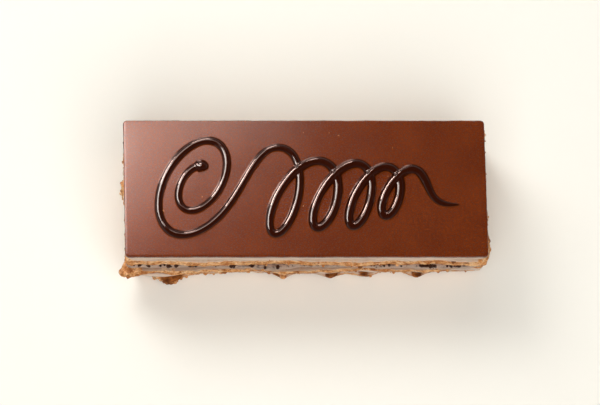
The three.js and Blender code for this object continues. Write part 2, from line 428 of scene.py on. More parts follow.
@dataclass(frozen=True)
class SpongeFinish:
    """Baked almond sponge, cut: an open, dry crumb that scatters light and has no gloss.

    Attributes:
        crumb: The cut crumb's colour.
        pale: Where the crumb is torn thin and catches light.
        soaked: Where it has drunk the coffee syrup.
        fleck_and_hole_shade: The crumb's own dark flecks, and painted shade inside the holes.
        crust: The browned skin of the sheet.
        dark_crust: The skin where it baked darkest.
        cream: Buttercream dragged over the crumb by the knife.
        ganache: Ganache dragged over the crumb by the knife, in the ganache film's pale grey, which is
            partly painted reflection.
    """

    crumb: str = "#d99a5e"
    pale: str = "#e9c196"
    soaked: str = "#a8632f"
    fleck_and_hole_shade: str = "#65310f"
    crust: str = "#a5622f"
    dark_crust: str = "#5e3218"
    cream: str = "#cfb8a5"
    ganache: str = "#aa8d79"

    def material(self) -> bpy.types.Material:
        """Golden crumb with pale tatters, syrupy patches, painted shade in its holes and a browned skin.

        Patches are about 2 mm across, as the joined bubbles of the batter are;
        grains of almond meal about 0.6 mm.
        """
        sponge = Shader("almond_sponge_cut_crumb")
        place = sponge.place
        patch = {"Vector": place, "Scale": per_mm(2.2), "Detail": 3.0, "Roughness": 0.65}
        patches = sponge.add("TexNoise", "Fac", patch)
        meal = {"Vector": place, "Scale": per_mm(0.6), "Detail": 3.0, "Roughness": 0.7}
        grains = sponge.add("TexNoise", "Fac", meal)
        pale = sponge.add("MapRange", "Result", {VALUE: patches, LOW: 0.50, HIGH: 0.66})
        soaked = sponge.add("MapRange", "Result", {VALUE: patches, LOW: 0.52, HIGH: 0.38, MOST: 0.95})
        flecks = sponge.add("MapRange", "Result", {VALUE: grains, LOW: 0.50, HIGH: 0.70, MOST: 0.75})
        lights = sponge.add("MapRange", "Result", {VALUE: grains, LOW: 0.46, HIGH: 0.30, MOST: 0.5})
        # Painted shade: the holes grow darker with their depth.
        cavity_shade = sponge.add("Attribute", "Fac", attribute_name="cavity_shade")
        holes = sponge.add("MapRange", "Result", {VALUE: cavity_shade, LOW: 0.05, HIGH: 0.70, MOST: 0.95})
        char = {"Vector": place, "Scale": per_mm(1.8), "Detail": 2.0}
        chars = sponge.add("TexNoise", "Fac", char)
        burnt = sponge.add("MapRange", "Result", {VALUE: chars, LOW: 0.38, HIGH: 0.62})
        coats = {SHARE: burnt, UNDER: self.crust, OVER: self.dark_crust}
        skin = sponge.add("Mix", BLENDED, coats, data_type="RGBA")
        browned = sponge.add("Attribute", "Fac", attribute_name="browned")
        coats = {SHARE: soaked, UNDER: self.crumb, OVER: self.soaked}
        colour = sponge.add("Mix", BLENDED, coats, data_type="RGBA")
        creamed = sponge.add("Attribute", "Fac", attribute_name=Dragged.CREAM.value)
        # The pale grey of dragged ganache is partly painted reflection.
        smeared = sponge.add("Attribute", "Fac", attribute_name=Dragged.GANACHE.value)
        crumb = ((pale, self.pale), (lights, self.pale), (flecks, self.fleck_and_hole_shade), (holes, self.fleck_and_hole_shade))
        for share, tint in (*crumb, (creamed, self.cream), (smeared, self.ganache)):
            coats = {SHARE: share, UNDER: colour, OVER: tint}
            colour = sponge.add("Mix", BLENDED, coats, data_type="RGBA")
        coats = {SHARE: browned, UNDER: colour, OVER: skin}
        colour = sponge.add("Mix", BLENDED, coats, data_type="RGBA")
        crumbly = {"Vector": place, "Scale": per_mm(0.45), "Detail": 3.0, "Roughness": 0.7}
        crumbs = sponge.add("TexNoise", "Fac", crumbly)
        height = sponge.add("Math", "Value", {FIRST: crumbs, SECOND: grains}, operation="ADD")
        normal = sponge.add("Bump", "Normal", {"Height": height, "Distance": 0.2 * MM, "Strength": 0.9})
        return sponge.dress(
            Base_Color=colour,
            Normal=normal,
            Roughness=0.86,
            Specular_IOR_Level=0.25,
            Subsurface_Weight=0.12,
            Subsurface_Scale=0.8 * MM,
            Subsurface_Radius=(1.0, 0.5, 0.25),
        )


@dataclass(frozen=True)
class ButtercreamFinish:
    """Coffee buttercream, sliced with a warm knife: smooth, fatty, a little see-through.

    Attributes:
        cream: Main colour.
        drag: Darker cream where the knife dragged coffee syrup and crumb across it; also the painted
            shade in the air pits and the seam's groove.
    """

    cream: str = "#cfb9a8"
    drag: str = "#a08474"

    def material(self) -> bpy.types.Material:
        """Pale coffee cream with knife drags, some 2 mm high and 20 mm long, painted shade in its air
        pits and seam groove, and a soft gloss.
        """
        butter = Shader("coffee_buttercream_sliced")
        place = butter.place
        level = butter.add("Mapping", "Vector", {"Vector": place, "Scale": (0.12, 0.12, 1.6)})
        drag = {"Vector": level, "Scale": per_mm(2.4), "Detail": 3.0, "Roughness": 0.6}
        drags = butter.add("TexNoise", "Fac", drag)
        stain = {"Vector": place, "Scale": per_mm(5.0), "Detail": 3.0, "Roughness": 0.6}
        stains = butter.add("TexNoise", "Fac", stain)
        streaks = butter.add("MapRange", "Result", {VALUE: drags, LOW: 0.48, HIGH: 0.85, MOST: 0.22})
        smears = butter.add("MapRange", "Result", {VALUE: stains, LOW: 0.50, HIGH: 0.80, MOST: 0.6})
        # Painted shade: the air pits and the seam's groove take the darker drag colour.
        cavity_shade = butter.add("Attribute", "Fac", attribute_name="cavity_shade")
        hollow_shade = butter.add("MapRange", "Result", {VALUE: cavity_shade, LOW: 0.05, HIGH: 0.9, MOST: 0.85})
        coats = {SHARE: streaks, UNDER: self.cream, OVER: self.drag}
        colour = butter.add("Mix", BLENDED, coats, data_type="RGBA")
        for share in (smears, hollow_shade):
            coats = {SHARE: share, UNDER: colour, OVER: self.drag}
            colour = butter.add("Mix", BLENDED, coats, data_type="RGBA")
        normal = butter.add("Bump", "Normal", {"Height": drags, "Distance": 0.12 * MM, "Strength": 1.0})
        return butter.dress(
            Base_Color=colour,
            Normal=normal,
            Roughness=0.48,
            Specular_IOR_Level=0.35,
            Subsurface_Weight=0.2,
            Subsurface_Scale=1.0 * MM,
            Subsurface_Radius=(1.0, 0.7, 0.45),
        )


@dataclass(frozen=True)
class GanacheFinish:
    """Chocolate ganache, smeared by the knife: a pale film, partly cream dragged over the dark
    chocolate, partly painted reflection of the bright room.

    Attributes:
        smear: The pale film, partly cream and chocolate that the knife left, partly painted reflection
            of the bright room.
        chocolate: The dark ganache itself, and the painted shade in the dents.
    """

    smear: str = "#a88b79"
    chocolate: str = "#3a1f14"

    def material(self) -> bpy.types.Material:
        """Mauve-brown smears, some 2 mm high and 12 mm long, partly painted reflection, with dark
        streaks, painted shade in the dents and a half gloss.
        """
        ganache = Shader("chocolate_ganache_smeared")
        place = ganache.place
        level = ganache.add("Mapping", "Vector", {"Vector": place, "Scale": (0.2, 0.2, 1.4)})
        drag = {"Vector": level, "Scale": per_mm(2.6), "Detail": 4.0, "Roughness": 0.65}
        drags = ganache.add("TexNoise", "Fac", drag)
        speck = {"Vector": place, "Scale": per_mm(1.2), "Detail": 3.0, "Roughness": 0.6}
        specks = ganache.add("TexNoise", "Fac", speck)
        terms = {FIRST: specks, SECOND: 0.7, THIRD: drags}
        both = ganache.add("Math", "Value", terms, operation="MULTIPLY_ADD")
        bare = ganache.add("MapRange", "Result", {VALUE: both, LOW: 0.88, HIGH: 1.06, MOST: 0.9})
        # Painted shade: the dents grow darker with their depth.
        cavity_shade = ganache.add("Attribute", "Fac", attribute_name="cavity_shade")
        dents = ganache.add("MapRange", "Result", {VALUE: cavity_shade, LOW: 0.1, HIGH: 0.9, MOST: 0.9})
        # Partly painted reflection: the pale film colour covers the side wherever the dark chocolate
        # isn't bared.
        coats = {SHARE: bare, UNDER: self.smear, OVER: self.chocolate}
        colour = ganache.add("Mix", BLENDED, coats, data_type="RGBA")
        coats = {SHARE: dents, UNDER: colour, OVER: self.chocolate}
        colour = ganache.add("Mix", BLENDED, coats, data_type="RGBA")
        normal = ganache.add("Bump", "Normal", {"Height": both, "Distance": 0.15 * MM, "Strength": 1.0})
        return ganache.dress(
            Base_Color=colour,
            Normal=normal,
            Roughness=0.42,
            Specular_IOR_Level=0.4,
            Subsurface_Weight=0.08,
            Subsurface_Scale=0.6 * MM,
        )


@dataclass(frozen=True)
class ChocolateFinish:
    """Broken dark chocolate: bits that the knife pulled out of the ganache.

    Attributes:
        chocolate: Main colour.
        pale_speck: Paler, dusted faces.
    """

    chocolate: str = "#32160b"
    pale_speck: str = "#6a4431"

    def material(self) -> bpy.types.Material:
        """Dark brown, dull where it broke, with paler faces about 1 mm across."""
        bits = Shader("dark_chocolate_broken")
        dust = {"Vector": bits.place, "Scale": per_mm(0.9), "Detail": 2.0, "Roughness": 0.6}
        dusts = bits.add("TexNoise", "Fac", dust)
        dusted = bits.add("MapRange", "Result", {VALUE: dusts, LOW: 0.5, HIGH: 0.75, MOST: 0.8})
        coats = {SHARE: dusted, UNDER: self.chocolate, OVER: self.pale_speck}
        colour = bits.add("Mix", BLENDED, coats, data_type="RGBA")
        return bits.dress(Base_Color=colour, Roughness=0.4)


@dataclass(frozen=True)
class GlazeFinish:
    """Set chocolate glaze: a satin skin with a fine grain of cocoa butter and sugar in it.

    Attributes:
        glaze: Main colour.
        thin: Where the glaze is thinner.
        grain: The darkest grains.
        pale_speck: The palest grains, painted as glints of light off the grain.
    """

    glaze: str = "#652604"
    thin: str = "#742f07"
    grain: str = "#4a1702"
    pale_speck: str = "#824116"

    def material(self) -> bpy.types.Material:
        """Warm brown satin whose grain breaks the light up, its palest grains painted as glints.

        The real grain is some 0.1 mm; it is drawn at 0.5 mm, the finest that shows.
        """
        skin = Shader("chocolate_glaze_satin")
        place = skin.place
        pour = {"Vector": place, "Scale": per_mm(9.0), "Detail": 3.0, "Roughness": 0.55}
        pours = skin.add("TexNoise", "Fac", pour)
        poured = skin.add("MapRange", "Result", {VALUE: pours, LOW: 0.35, HIGH: 0.7})
        sugar = {"Vector": place, "Scale": per_mm(0.52), "Detail": 2.0, "Roughness": 0.6}
        grains = skin.add("TexNoise", "Fac", sugar)
        specks = skin.add("MapRange", "Result", {VALUE: grains, LOW: 0.45, HIGH: 0.62})
        # Painted highlight: the palest grains are lightened as glints.
        painted_glints = skin.add("MapRange", "Result", {VALUE: grains, LOW: 0.45, HIGH: 0.32, MOST: 0.6})
        coats = {SHARE: poured, UNDER: self.glaze, OVER: self.thin}
        colour = skin.add("Mix", BLENDED, coats, data_type="RGBA")
        for share, tint in ((specks, self.grain), (painted_glints, self.pale_speck)):
            coats = {SHARE: share, UNDER: colour, OVER: tint}
            colour = skin.add("Mix", BLENDED, coats, data_type="RGBA")
        rough = {VALUE: grains, LOW: 0.3, HIGH: 0.7, LEAST: 0.22, MOST: 0.30}
        roughness = skin.add("MapRange", "Result", rough)
        normal = skin.add("Bump", "Normal", {"Height": grains, "Distance": 0.014 * MM, "Strength": 1.0})
        return skin.dress(Base_Color=colour, Normal=normal, Roughness=roughness, Specular_IOR_Level=0.5)


@dataclass(frozen=True)
class PipingFinish:
    """Melted chocolate piped on and set: nearly black, as glossy as wet paint.

    Attributes:
        chocolate: The thick of the bead.
        edge: The thin foot of the bead, where light comes through it.
    """

    chocolate: str = "#300f05"
    edge: str = "#86400f"

    def material(self) -> bpy.types.Material:
        """Black-brown gloss, warmer along the bead's thin foot."""
        bead = Shader("piped_chocolate_gloss")
        rise = bead.add("Attribute", "Fac", attribute_name="rise")
        thick = bead.add("MapRange", "Result", {VALUE: rise, LOW: 0.05, HIGH: 0.36})
        coats = {SHARE: thick, UNDER: self.edge, OVER: self.chocolate}
        colour = bead.add("Mix", BLENDED, coats, data_type="RGBA")
        ripple = {"Vector": bead.place, "Scale": per_mm(2.2), "Detail": 1.0}
        height = bead.add("TexNoise", "Fac", ripple)
        normal = bead.add("Bump", "Normal", {"Height": height, "Distance": 0.06 * MM, "Strength": 1.0})
        return bead.dress(Base_Color=colour, Normal=normal, Roughness=0.1, Specular_IOR_Level=0.5)


@dataclass(frozen=True)
class TableFinish:
    """A matt painted table top.

    Attributes:
        paint: Its colour.
        worn: Its faint mottle.
    """

    paint: str = "#f7f4eb"
    worn: str = "#f5f2e9"

    def material(self) -> bpy.types.Material:
        """Matt off-white with the faintest mottle, some 60 mm across."""
        table = Shader("matt_white_table")
        mottle = table.add("TexNoise", "Fac", {"Vector": table.place, "Scale": per_mm(60.0)})
        coats = {SHARE: mottle, UNDER: self.paint, OVER: self.worn}
        colour = table.add("Mix", BLENDED, coats, data_type="RGBA")
        return table.dress(Base_Color=colour, Roughness=0.9, Specular_IOR_Level=0.1)


# ------------------------------------------------------------------ the cut side


@dataclass(frozen=True)
class SlicePlan:
    """The plan of the slice, by which every layer's side is laid out.

    Attributes:
        centre: Middle of the glazed top, (x, y).
        half: Half its length and half its depth.
    """

    centre: Floats
    half: Floats

    @classmethod
    def from_glaze(cls) -> SlicePlan:
        """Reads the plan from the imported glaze, whose box is longer by the end cuts' slant."""
        low, high = (np.array(corner[:2]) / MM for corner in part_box("glaze"))
        size = high - low
        size[0] -= SKEW * size[1]
        return cls(centre=(low + high) / 2.0, half=size / 2.0)

    @property
    def core(self) -> Floats:
        """Half sizes of the smaller rectangle inside the slice."""
        return self.half - CORE_INSET

    @property
    def turn_length(self) -> float:
        """Way round that each corner counts for."""
        return CORE_INSET * QUARTER

    @property
    def around(self) -> float:
        """The whole way round."""
        return float(4.0 * self.core.sum() + 4.0 * self.turn_length)

    def stand(self, points: Floats) -> Floats:
        """How far squared points stand out past the clean cut, negative inside it."""
        return np.linalg.norm(points - np.clip(points, -self.core, self.core), axis=-1) - CORE_INSET

    def squared(self, points: Floats) -> Floats:
        """Points seen from the slice's centre, x + SKEW y, which takes the end cuts' slant out."""
        moved = points[..., :2] - self.centre
        return moved + moved[..., 1:] * np.array([SKEW, 0.0])

    def slanted(self, points: Floats) -> Floats:
        """The reverse of squared: x - SKEW y, moved back to the slice's place."""
        return points - points[..., 1:] * np.array([SKEW, 0.0]) + self.centre

    def way(self, points: Floats) -> Floats:
        """How far round the slice each point lies, anticlockwise from the front left.

        A point is compared with the nearest point of the core rectangle. The
        direction between them says which side or corner it belongs to; the way
        is that side's start, plus the run along it, plus the share of the corner.

        Args:
            points: Squared points outside the core, (..., 2).

        Returns:
            Ways in millimetres, (...).
        """
        nearest = np.clip(points, -self.core, self.core)
        out = points - nearest
        rounding = 1e-4
        turned = np.mod(np.arctan2(out[..., 1], out[..., 0]) + QUARTER + rounding, 4.0 * QUARTER)
        side = np.floor(turned / QUARTER)
        corner = turned / QUARTER - side
        angle = side * QUARTER
        run = nearest[..., 0] * np.cos(angle) + nearest[..., 1] * np.sin(angle)
        lengths = np.tile(2.0 * self.core, 2) + self.turn_length
        starts = np.concatenate([[0.0], np.cumsum(lengths)[:-1]])
        half_run = np.tile(self.core, 2)
        number = side.astype(int)
        return starts[number] + half_run[number] + run + corner * self.turn_length


class CutSide:
    """How the cut side of one packed layer runs, at every height."""

    def __init__(self, plan: SlicePlan, node: bpy.types.Object, spacing: float) -> None:
        """Reads the solid's rings and spreads them evenly round the slice.

        Args:
            plan: The slice's plan.
            node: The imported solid.
            spacing: Distance between columns of the new skin.
        """
        self.plan = plan
        self.columns = int(round(plan.around / spacing))
        points = points_of(node.data)
        levels = np.round(points[:, 2], 2)
        self.heights = np.unique(levels)
        self.rings = np.stack([self._ring(points[levels == level]) for level in self.heights])

    def _ring(self, points: Floats) -> Floats:
        """One level's outline at evenly spaced ways, its chords rounded off.

        The outline is read off between the solid's points by their way round, then
        each point becomes (before + 2 itself + after) / 4, often enough to round 0.6 mm.

        Args:
            points: The solid's points on that level, (count, 3).

        Returns:
            Squared points, (columns, 2).
        """
        square = self.plan.squared(points)
        ways, first = np.unique(np.round(self.plan.way(square), 3), return_index=True)
        wanted = np.arange(self.columns) * self.plan.around / self.columns
        period = self.plan.around
        axes = [np.interp(wanted, ways, square[first, axis], period=period) for axis in (0, 1)]
        ring = np.stack(axes, axis=-1)
        chord_rounding = 0.6
        passes = int(round(2.0 * (chord_rounding * self.columns / self.plan.around) ** 2))
        for _ in range(passes):
            ring = (np.roll(ring, 1, axis=0) + 2.0 * ring + np.roll(ring, -1, axis=0)) / 4.0
        return ring

    def at(self, heights: Floats) -> Floats:
        """The squared outline at each height, blended between the solid's levels.

        Args:
            heights: Heights in millimetres, (rows,).

        Returns:
            Points, (rows, columns, 2).
        """
        index = np.interp(heights, self.heights, np.arange(len(self.heights)))
        below = np.minimum(index.astype(int), len(self.heights) - 2)
        part = (index - below)[:, None, None]
        return self.rings[below] * (1.0 - part) + self.rings[below + 1] * part

    def surface(self, ways: Floats, heights: Floats) -> tuple[Floats, Floats]:
        """Places on the cut side and the directions out of it.

        Args:
            ways: Shares of the way round, from 0 to 1, (count,).
            heights: Heights in millimetres, (count,).

        Returns:
            Points and outward directions, each (count, 3).
        """
        column = (ways * self.columns).astype(int) % self.columns
        square = self.at(heights)[np.arange(len(ways)), column]
        out = square - np.clip(square, -self.plan.core, self.plan.core)
        out /= np.linalg.norm(out, axis=-1, keepdims=True)
        flat = np.zeros(len(ways))
        place = self.plan.slanted(square)
        return np.column_stack([place, heights]), np.column_stack([out, flat])


@dataclass(frozen=True)
class Interface:
    """The wavy boundary between two layers, which both of them follow.

    Attributes:
        height: Its mean height.
        wave: How far it wanders up and down.
        seed: Pattern number.
        length: Length of its waves.
    """

    height: float
    wave: float
    seed: int
    length: float = 6.0

    def heights(self, points: Floats) -> Floats:
        """Heights over squared points: the mean plus noise."""
        return self.height + self.wave * layered_noise(on_the_level(points), self.length, self.seed)


class Dragged(Enum):
    """What the knife dragged over a sponge sheet, with the mark that the finish reads."""

    CREAM = "creamed"
    GANACHE = "smeared"


@dataclass
class CakeLayer:
    """One layer of the stack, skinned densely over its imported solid.

    Attributes:
        node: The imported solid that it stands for, which gives it its name.
        slot: Its material slot.
        spacing: Distance between the skin's points.
        rim: Radius of its upper and lower edge.
        seed: Pattern number.
        side: Its cut side, read from the solid when it is built.
        thickness: Its mean thickness, known when it is built.
    """

    node: str
    slot: str
    spacing: float
    rim: float
    seed: int
    side: CutSide = field(init=False)
    thickness: float = field(init=False)

    def relief(self, points: Floats, rise: Floats) -> tuple[Floats, dict[str, Floats]]:
        """How far each point stands out of the cut, and the marks that the finish reads.

        Args:
            points: Places on the smooth side in millimetres, (rows, columns, 3).
            rise: Share of the layer's thickness at each row, (rows, 1).

        Returns:
            Distances outwards, (rows, columns), and named numbers of that shape.
        """
        raise NotImplementedError

    def profile(self) -> tuple[Floats, Floats]:
        """Rows of the skin from the underside's middle, up the side, to the top's middle.

        On the side a row at height h is drawn in by r - sqrt(r² - (r - h)²) within
        the rim radius r of an edge.

        Returns:
            How far each row is drawn in, and its share of the thickness, each (rows,).
        """
        cap = np.array([0.8, 0.5, 0.25, 0.1]) * CORE_INSET
        count = int(round(self.thickness / self.spacing))
        rise = np.linspace(0.0, 1.0, count + 1)
        from_edge = np.minimum(rise, 1.0 - rise) * self.thickness
        near_edge = np.clip(self.rim - from_edge, 0.0, self.rim)
        drawn_in = self.rim - np.sqrt(self.rim**2 - near_edge**2)
        inset = np.concatenate([cap, drawn_in, cap[::-1]])
        share = np.concatenate([np.zeros(len(cap)), rise, np.ones(len(cap))])
        return inset, share

    def build(
        self,
        plan: SlicePlan,
        solid: bpy.types.Object,
        below: Interface,
        above: Interface,
        material: bpy.types.Material,
    ) -> bpy.types.Object:
        """Skins the layer between its two interfaces.

        Each point starts on the solid's side, is drawn in by its row's profile and
        then stands out by its relief, which fades to nothing on the hidden caps. Where
        the layer above was dragged over the edge, the rim is all but filled.

        Args:
            plan: The slice's plan.
            solid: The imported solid.
            below: Its lower boundary.
            above: Its upper boundary.
            material: Its finish.

        Returns:
            The piece.
        """
        self.side = CutSide(plan, solid, self.spacing)
        self.thickness = above.height - below.height
        inset, share = self.profile()
        heights = below.height + share * self.thickness
        square = self.side.at(heights)
        inward = np.clip(square, -plan.core, plan.core) - square
        reach = np.linalg.norm(inward, axis=-1, keepdims=True)
        inward /= reach
        furthest = 0.85
        drawn = np.minimum(inset[:, None, None], furthest * reach)
        rise = share[:, None]
        floor, top = below.heights(square), above.heights(square)
        levels = floor + rise * (top - floor)
        smooth = np.concatenate([square, levels[..., None]], axis=-1)
        stand, marks = self.relief(smooth, rise)
        dragged = [marks[kind.value] for kind in Dragged if kind.value in marks]
        filling = 0.9
        drawn = drawn * (1.0 - filling * sum(dragged, np.zeros(stand.shape)))[..., None]
        fade = np.clip(1.0 - inset / (CORE_INSET / 2.0), 0.0, 1.0)[:, None]
        square = square + inward * (drawn - (stand * fade)[..., None])
        points = np.concatenate([plan.slanted(square), levels[..., None]], axis=-1)
        rows, columns = points.shape[:2]
        middle = np.array([[*plan.centre, below.height], [*plan.centre, above.height]])
        first, last = np.arange(columns), (rows - 1) * columns + np.arange(columns)
        centre = rows * columns
        caps = [fan_faces(first, centre, upward=False), fan_faces(last, centre + 1, upward=True)]
        vertices = np.concatenate([points.reshape(-1, 3), middle])
        ends = np.zeros(2)
        values = {name: np.concatenate([mark.reshape(-1), ends]) for name, mark in marks.items()}
        faces = [strip_faces(rows, columns), np.concatenate(caps)]
        piece = make_piece(self.node + "_cut", vertices, faces, material, values)
        settle(piece, self.slot, self.node)
        return piece


@dataclass(frozen=True)
class Browning:
    """A place on a sponge sheet's side where its baked skin shows.

    Attributes:
        x: Place along the slice, as a share of half its length.
        y: Place across it, as a share of half its depth.
        spread: How far it reaches.
    """

    x: float
    y: float
    spread: float


@dataclass(frozen=True)
class Droop:
    """A place on the front where the knife pulled the layer above further down.

    Attributes:
        x: Place along the slice, as a share of half its length.
        spread: How far along it reaches.
        depth: How much further down it reaches, in millimetres.
    """

    x: float
    spread: float
    depth: float


@dataclass
class SpongeSheet(CakeLayer):
    """Almond sponge: a torn, open crumb with a thin browned skin under it.

    Attributes:
        browned: Places where the skin has been dragged up the side.
        skin: Share of the thickness that the skin under the sheet takes.
        lumps: Height of the lumps of crumb.
        lump_width: Width of the lumps.
        torn_lumps: How many times higher they grow with each millimetre torn out.
        grains: Height of the grains on the lumps.
        grain_width: Width of the grains.
        torn_grains: How much higher they grow with each millimetre torn out.
        torn_most: The distance torn out past which nothing grows any more.
        squeezed: How much the weight of the cake has flattened the crumb.
        ragged: How far the holes are pushed out of round.
        sunk: The holes' depth as a share of the bubbles'.
        dark_depth: Depth at which the painted shade in a hole is as dark as it gets.
        smear: How far down the knife dragged the layer above over it.
        smear_film: Thickness of what it dragged.
        smear_fill: How much of the crumb's relief it fills up.
        smear_of: What it dragged.
        droops: Places where it was dragged further.
        big_holes: The largest bubbles of the crumb.
        small_holes: Smaller ones between them.
        pores: The finest ones.
    """

    browned: tuple[Browning, ...] = ()
    skin: float = 0.10
    lumps: float = 0.30
    lump_width: float = 2.4
    torn_lumps: float = 2.2
    grains: float = 0.12
    grain_width: float = 0.9
    torn_grains: float = 0.35
    torn_most: float = 1.5
    squeezed: float = 1.35
    ragged: float = 0.32
    sunk: float = 0.9
    dark_depth: float = 0.5
    smear: float = 0.4
    smear_film: float = 0.15
    smear_fill: float = 0.8
    smear_of: Dragged = Dragged.CREAM
    droops: tuple[Droop, ...] = ()
    big_holes: Bubbles = Bubbles(cell=2.5, smallest=0.25, largest=0.80, share=0.45)
    small_holes: Bubbles = Bubbles(cell=1.15, smallest=0.16, largest=0.42, share=0.7)
    pores: Bubbles = Bubbles(cell=0.62, smallest=0.10, largest=0.22, share=0.8)

    def relief(self, points: Floats, rise: Floats) -> tuple[Floats, dict[str, Floats]]:
        """Lumps of crumb less the holes, which are ragged, and flattened by the weight of the cake.

        The holes' centres are looked up at places pushed about by noise, which makes
        them ragged. Where the crumb is torn it stands out past the clean cut, and
        there its lumps are several times as high. Where the layer above was dragged
        over it, the crumb is filled up and smooth.

        Args:
            points: Places on the smooth side in millimetres, (rows, columns, 3).
            rise: Share of the layer's thickness at each row, (rows, 1).

        Returns:
            Distances outwards, (rows, columns), and named numbers of that shape.
        """
        crumb = points * np.array([1.0, 1.0, self.squeezed])
        grain = self.grain_width
        push = [layered_noise(crumb, grain, self.seed + 3 + axis, 2) for axis in range(3)]
        ragged = crumb + self.ragged * np.stack(push, axis=-1)
        torn = np.clip(self.side.plan.stand(points[..., :2]), 0.0, self.torn_most)
        lumpy = layered_noise(crumb, self.lump_width, self.seed)
        lumps = self.lumps * (1.0 + self.torn_lumps * torn) * lumpy
        grainy = layered_noise(crumb, grain, self.seed + 5, 2)
        grains = (self.grains + self.torn_grains * torn) * grainy
        big = self.big_holes.depth(ragged, self.seed + 11)
        small = self.small_holes.depth(ragged, self.seed + 23)
        pores = self.pores.depth(ragged, self.seed + 37)
        holes = np.maximum(np.maximum(big, small), pores)
        smeared = self._smeared(points, rise, torn)
        bare = 1.0 - self.smear_fill * smeared
        marks = {
            # Painted shade for the holes: their depth, less where smeared over.
            "cavity_shade": np.clip(holes * bare / self.dark_depth, 0.0, 1.0),
            "browned": self._browned(points, rise),
            self.smear_of.value: smeared,
        }
        return (lumps + grains - self.sunk * holes) * bare + self.smear_film * smeared, marks

    def _smeared(self, points: Floats, rise: Floats, torn: Floats) -> Floats:
        """How far the layer above covers each point: ragged tongues down from the top edge.

        The tongues, some 4.5 mm wide, end in tatters of 1.3 mm and thin out over the
        last 0.25 mm of their reach. Torn crumb stands clear of the knife, so it has none.

        Args:
            points: Places on the smooth side, (rows, columns, 3).
            rise: Share of the thickness at each row, (rows, 1).
            torn: How far the crumb stands out past the clean cut, (rows, columns).

        Returns:
            Shares of cover, (rows, columns).
        """
        down = (1.0 - rise) * self.thickness
        tongues = layered_noise(points * np.array([1.0, 1.0, 0.3]), 4.5, self.seed + 61)
        tatters = layered_noise(points, 1.3, self.seed + 67, 2)
        clear = 1.0 - np.clip(2.0 * torn, 0.0, 1.0)
        reach = self.smear * (1.0 + 0.9 * tongues + 0.8 * tatters) * clear
        front = points[..., 1] < 0.0
        for droop in self.droops:
            from_centre = points[..., 0] - droop.x * self.side.plan.half[0]
            reach = reach + front * droop.depth * bell(from_centre, droop.spread)
        patchy = layered_noise(points, 0.9, self.seed + 71, 2)
        thin = np.clip(0.9 + 0.5 * patchy, 0.0, 1.0)
        fade = 0.25
        return thin * np.clip((reach - down) / fade, 0.0, 1.0)

    def _browned(self, points: Floats, rise: Floats) -> Floats:
        """How browned each point is: the skin below, and the places where it was dragged up.

        A dragged place is where a bell about its centre plus noise, which makes its
        edge ragged, comes to more than a threshold.

        Args:
            points: Places on the smooth side, (rows, columns, 3).
            rise: Share of the thickness at each row, (rows, 1).

        Returns:
            Shares of browning, (rows, columns).
        """
        skin_blur, edge, edge_blur = 0.06, 0.35, 0.2
        ragged = self.skin * (1.0 + 1.4 * layered_noise(points, 2.2, self.seed + 31))
        skin = np.clip((ragged - rise) / skin_blur + 0.5, 0.0, 1.0)
        uneven = 0.4 * layered_noise(points, 1.5, self.seed + 41, 3)
        for place in self.browned:
            centre = self.side.plan.half * np.array([place.x, place.y])
            distance = np.linalg.norm(points[..., :2] - centre, axis=-1)
            dragged = (bell(distance, place.spread) + uneven - edge) / edge_blur
            skin = np.maximum(skin, np.clip(dragged, 0.0, 1.0))
        return skin


@dataclass
class CreamLayer(CakeLayer):
    """Buttercream: smooth, with faint drags of the knife and a few air pits.

    Attributes:
        seam: Share of the thickness where two passes of the palette knife meet, or None.
        seam_width: Width of the seam's groove, as a share of the thickness.
        seam_depth: Depth of the groove.
        swells: Height of the broad swells.
        drags: Height of the knife's drags.
        air: The air pits.
    """

    seam: float | None = None
    seam_width: float = 0.08
    seam_depth: float = 0.32
    swells: float = 0.12
    drags: float = 0.025
    air: Bubbles = Bubbles(cell=1.6, smallest=0.10, largest=0.32, share=0.22)

    def relief(self, points: Floats, rise: Floats) -> tuple[Floats, dict[str, Floats]]:
        """Swells of 7 mm and drags of 9 mm by 1.3, less the air pits and the seam's groove.

        Args:
            points: Places on the smooth side in millimetres, (rows, columns, 3).
            rise: Share of the layer's thickness at each row, (rows, 1).

        Returns:
            Distances outwards, (rows, columns), and named numbers of that shape.
        """
        swells = self.swells * layered_noise(points, 7.0, self.seed)
        level_drag = np.array([0.15, 0.15, 1.0])
        drags = self.drags * layered_noise(points * level_drag, 1.3, self.seed + 5)
        pits = self.air.depth(points, self.seed + 11)
        groove = np.zeros(points.shape[:2])
        if self.seam is not None:
            level = points * np.array([1.0, 1.0, 0.0])
            line = self.seam + 0.05 * layered_noise(level, 9.0, self.seed + 19)
            groove = bell(rise - line, self.seam_width)
        # Painted shade: the pits and the seam's groove are marked for darkening.
        marks = {"cavity_shade": np.clip(pits / 0.3 + 0.9 * groove, 0.0, 1.0)}
        return swells + drags - pits - self.seam_depth * groove, marks


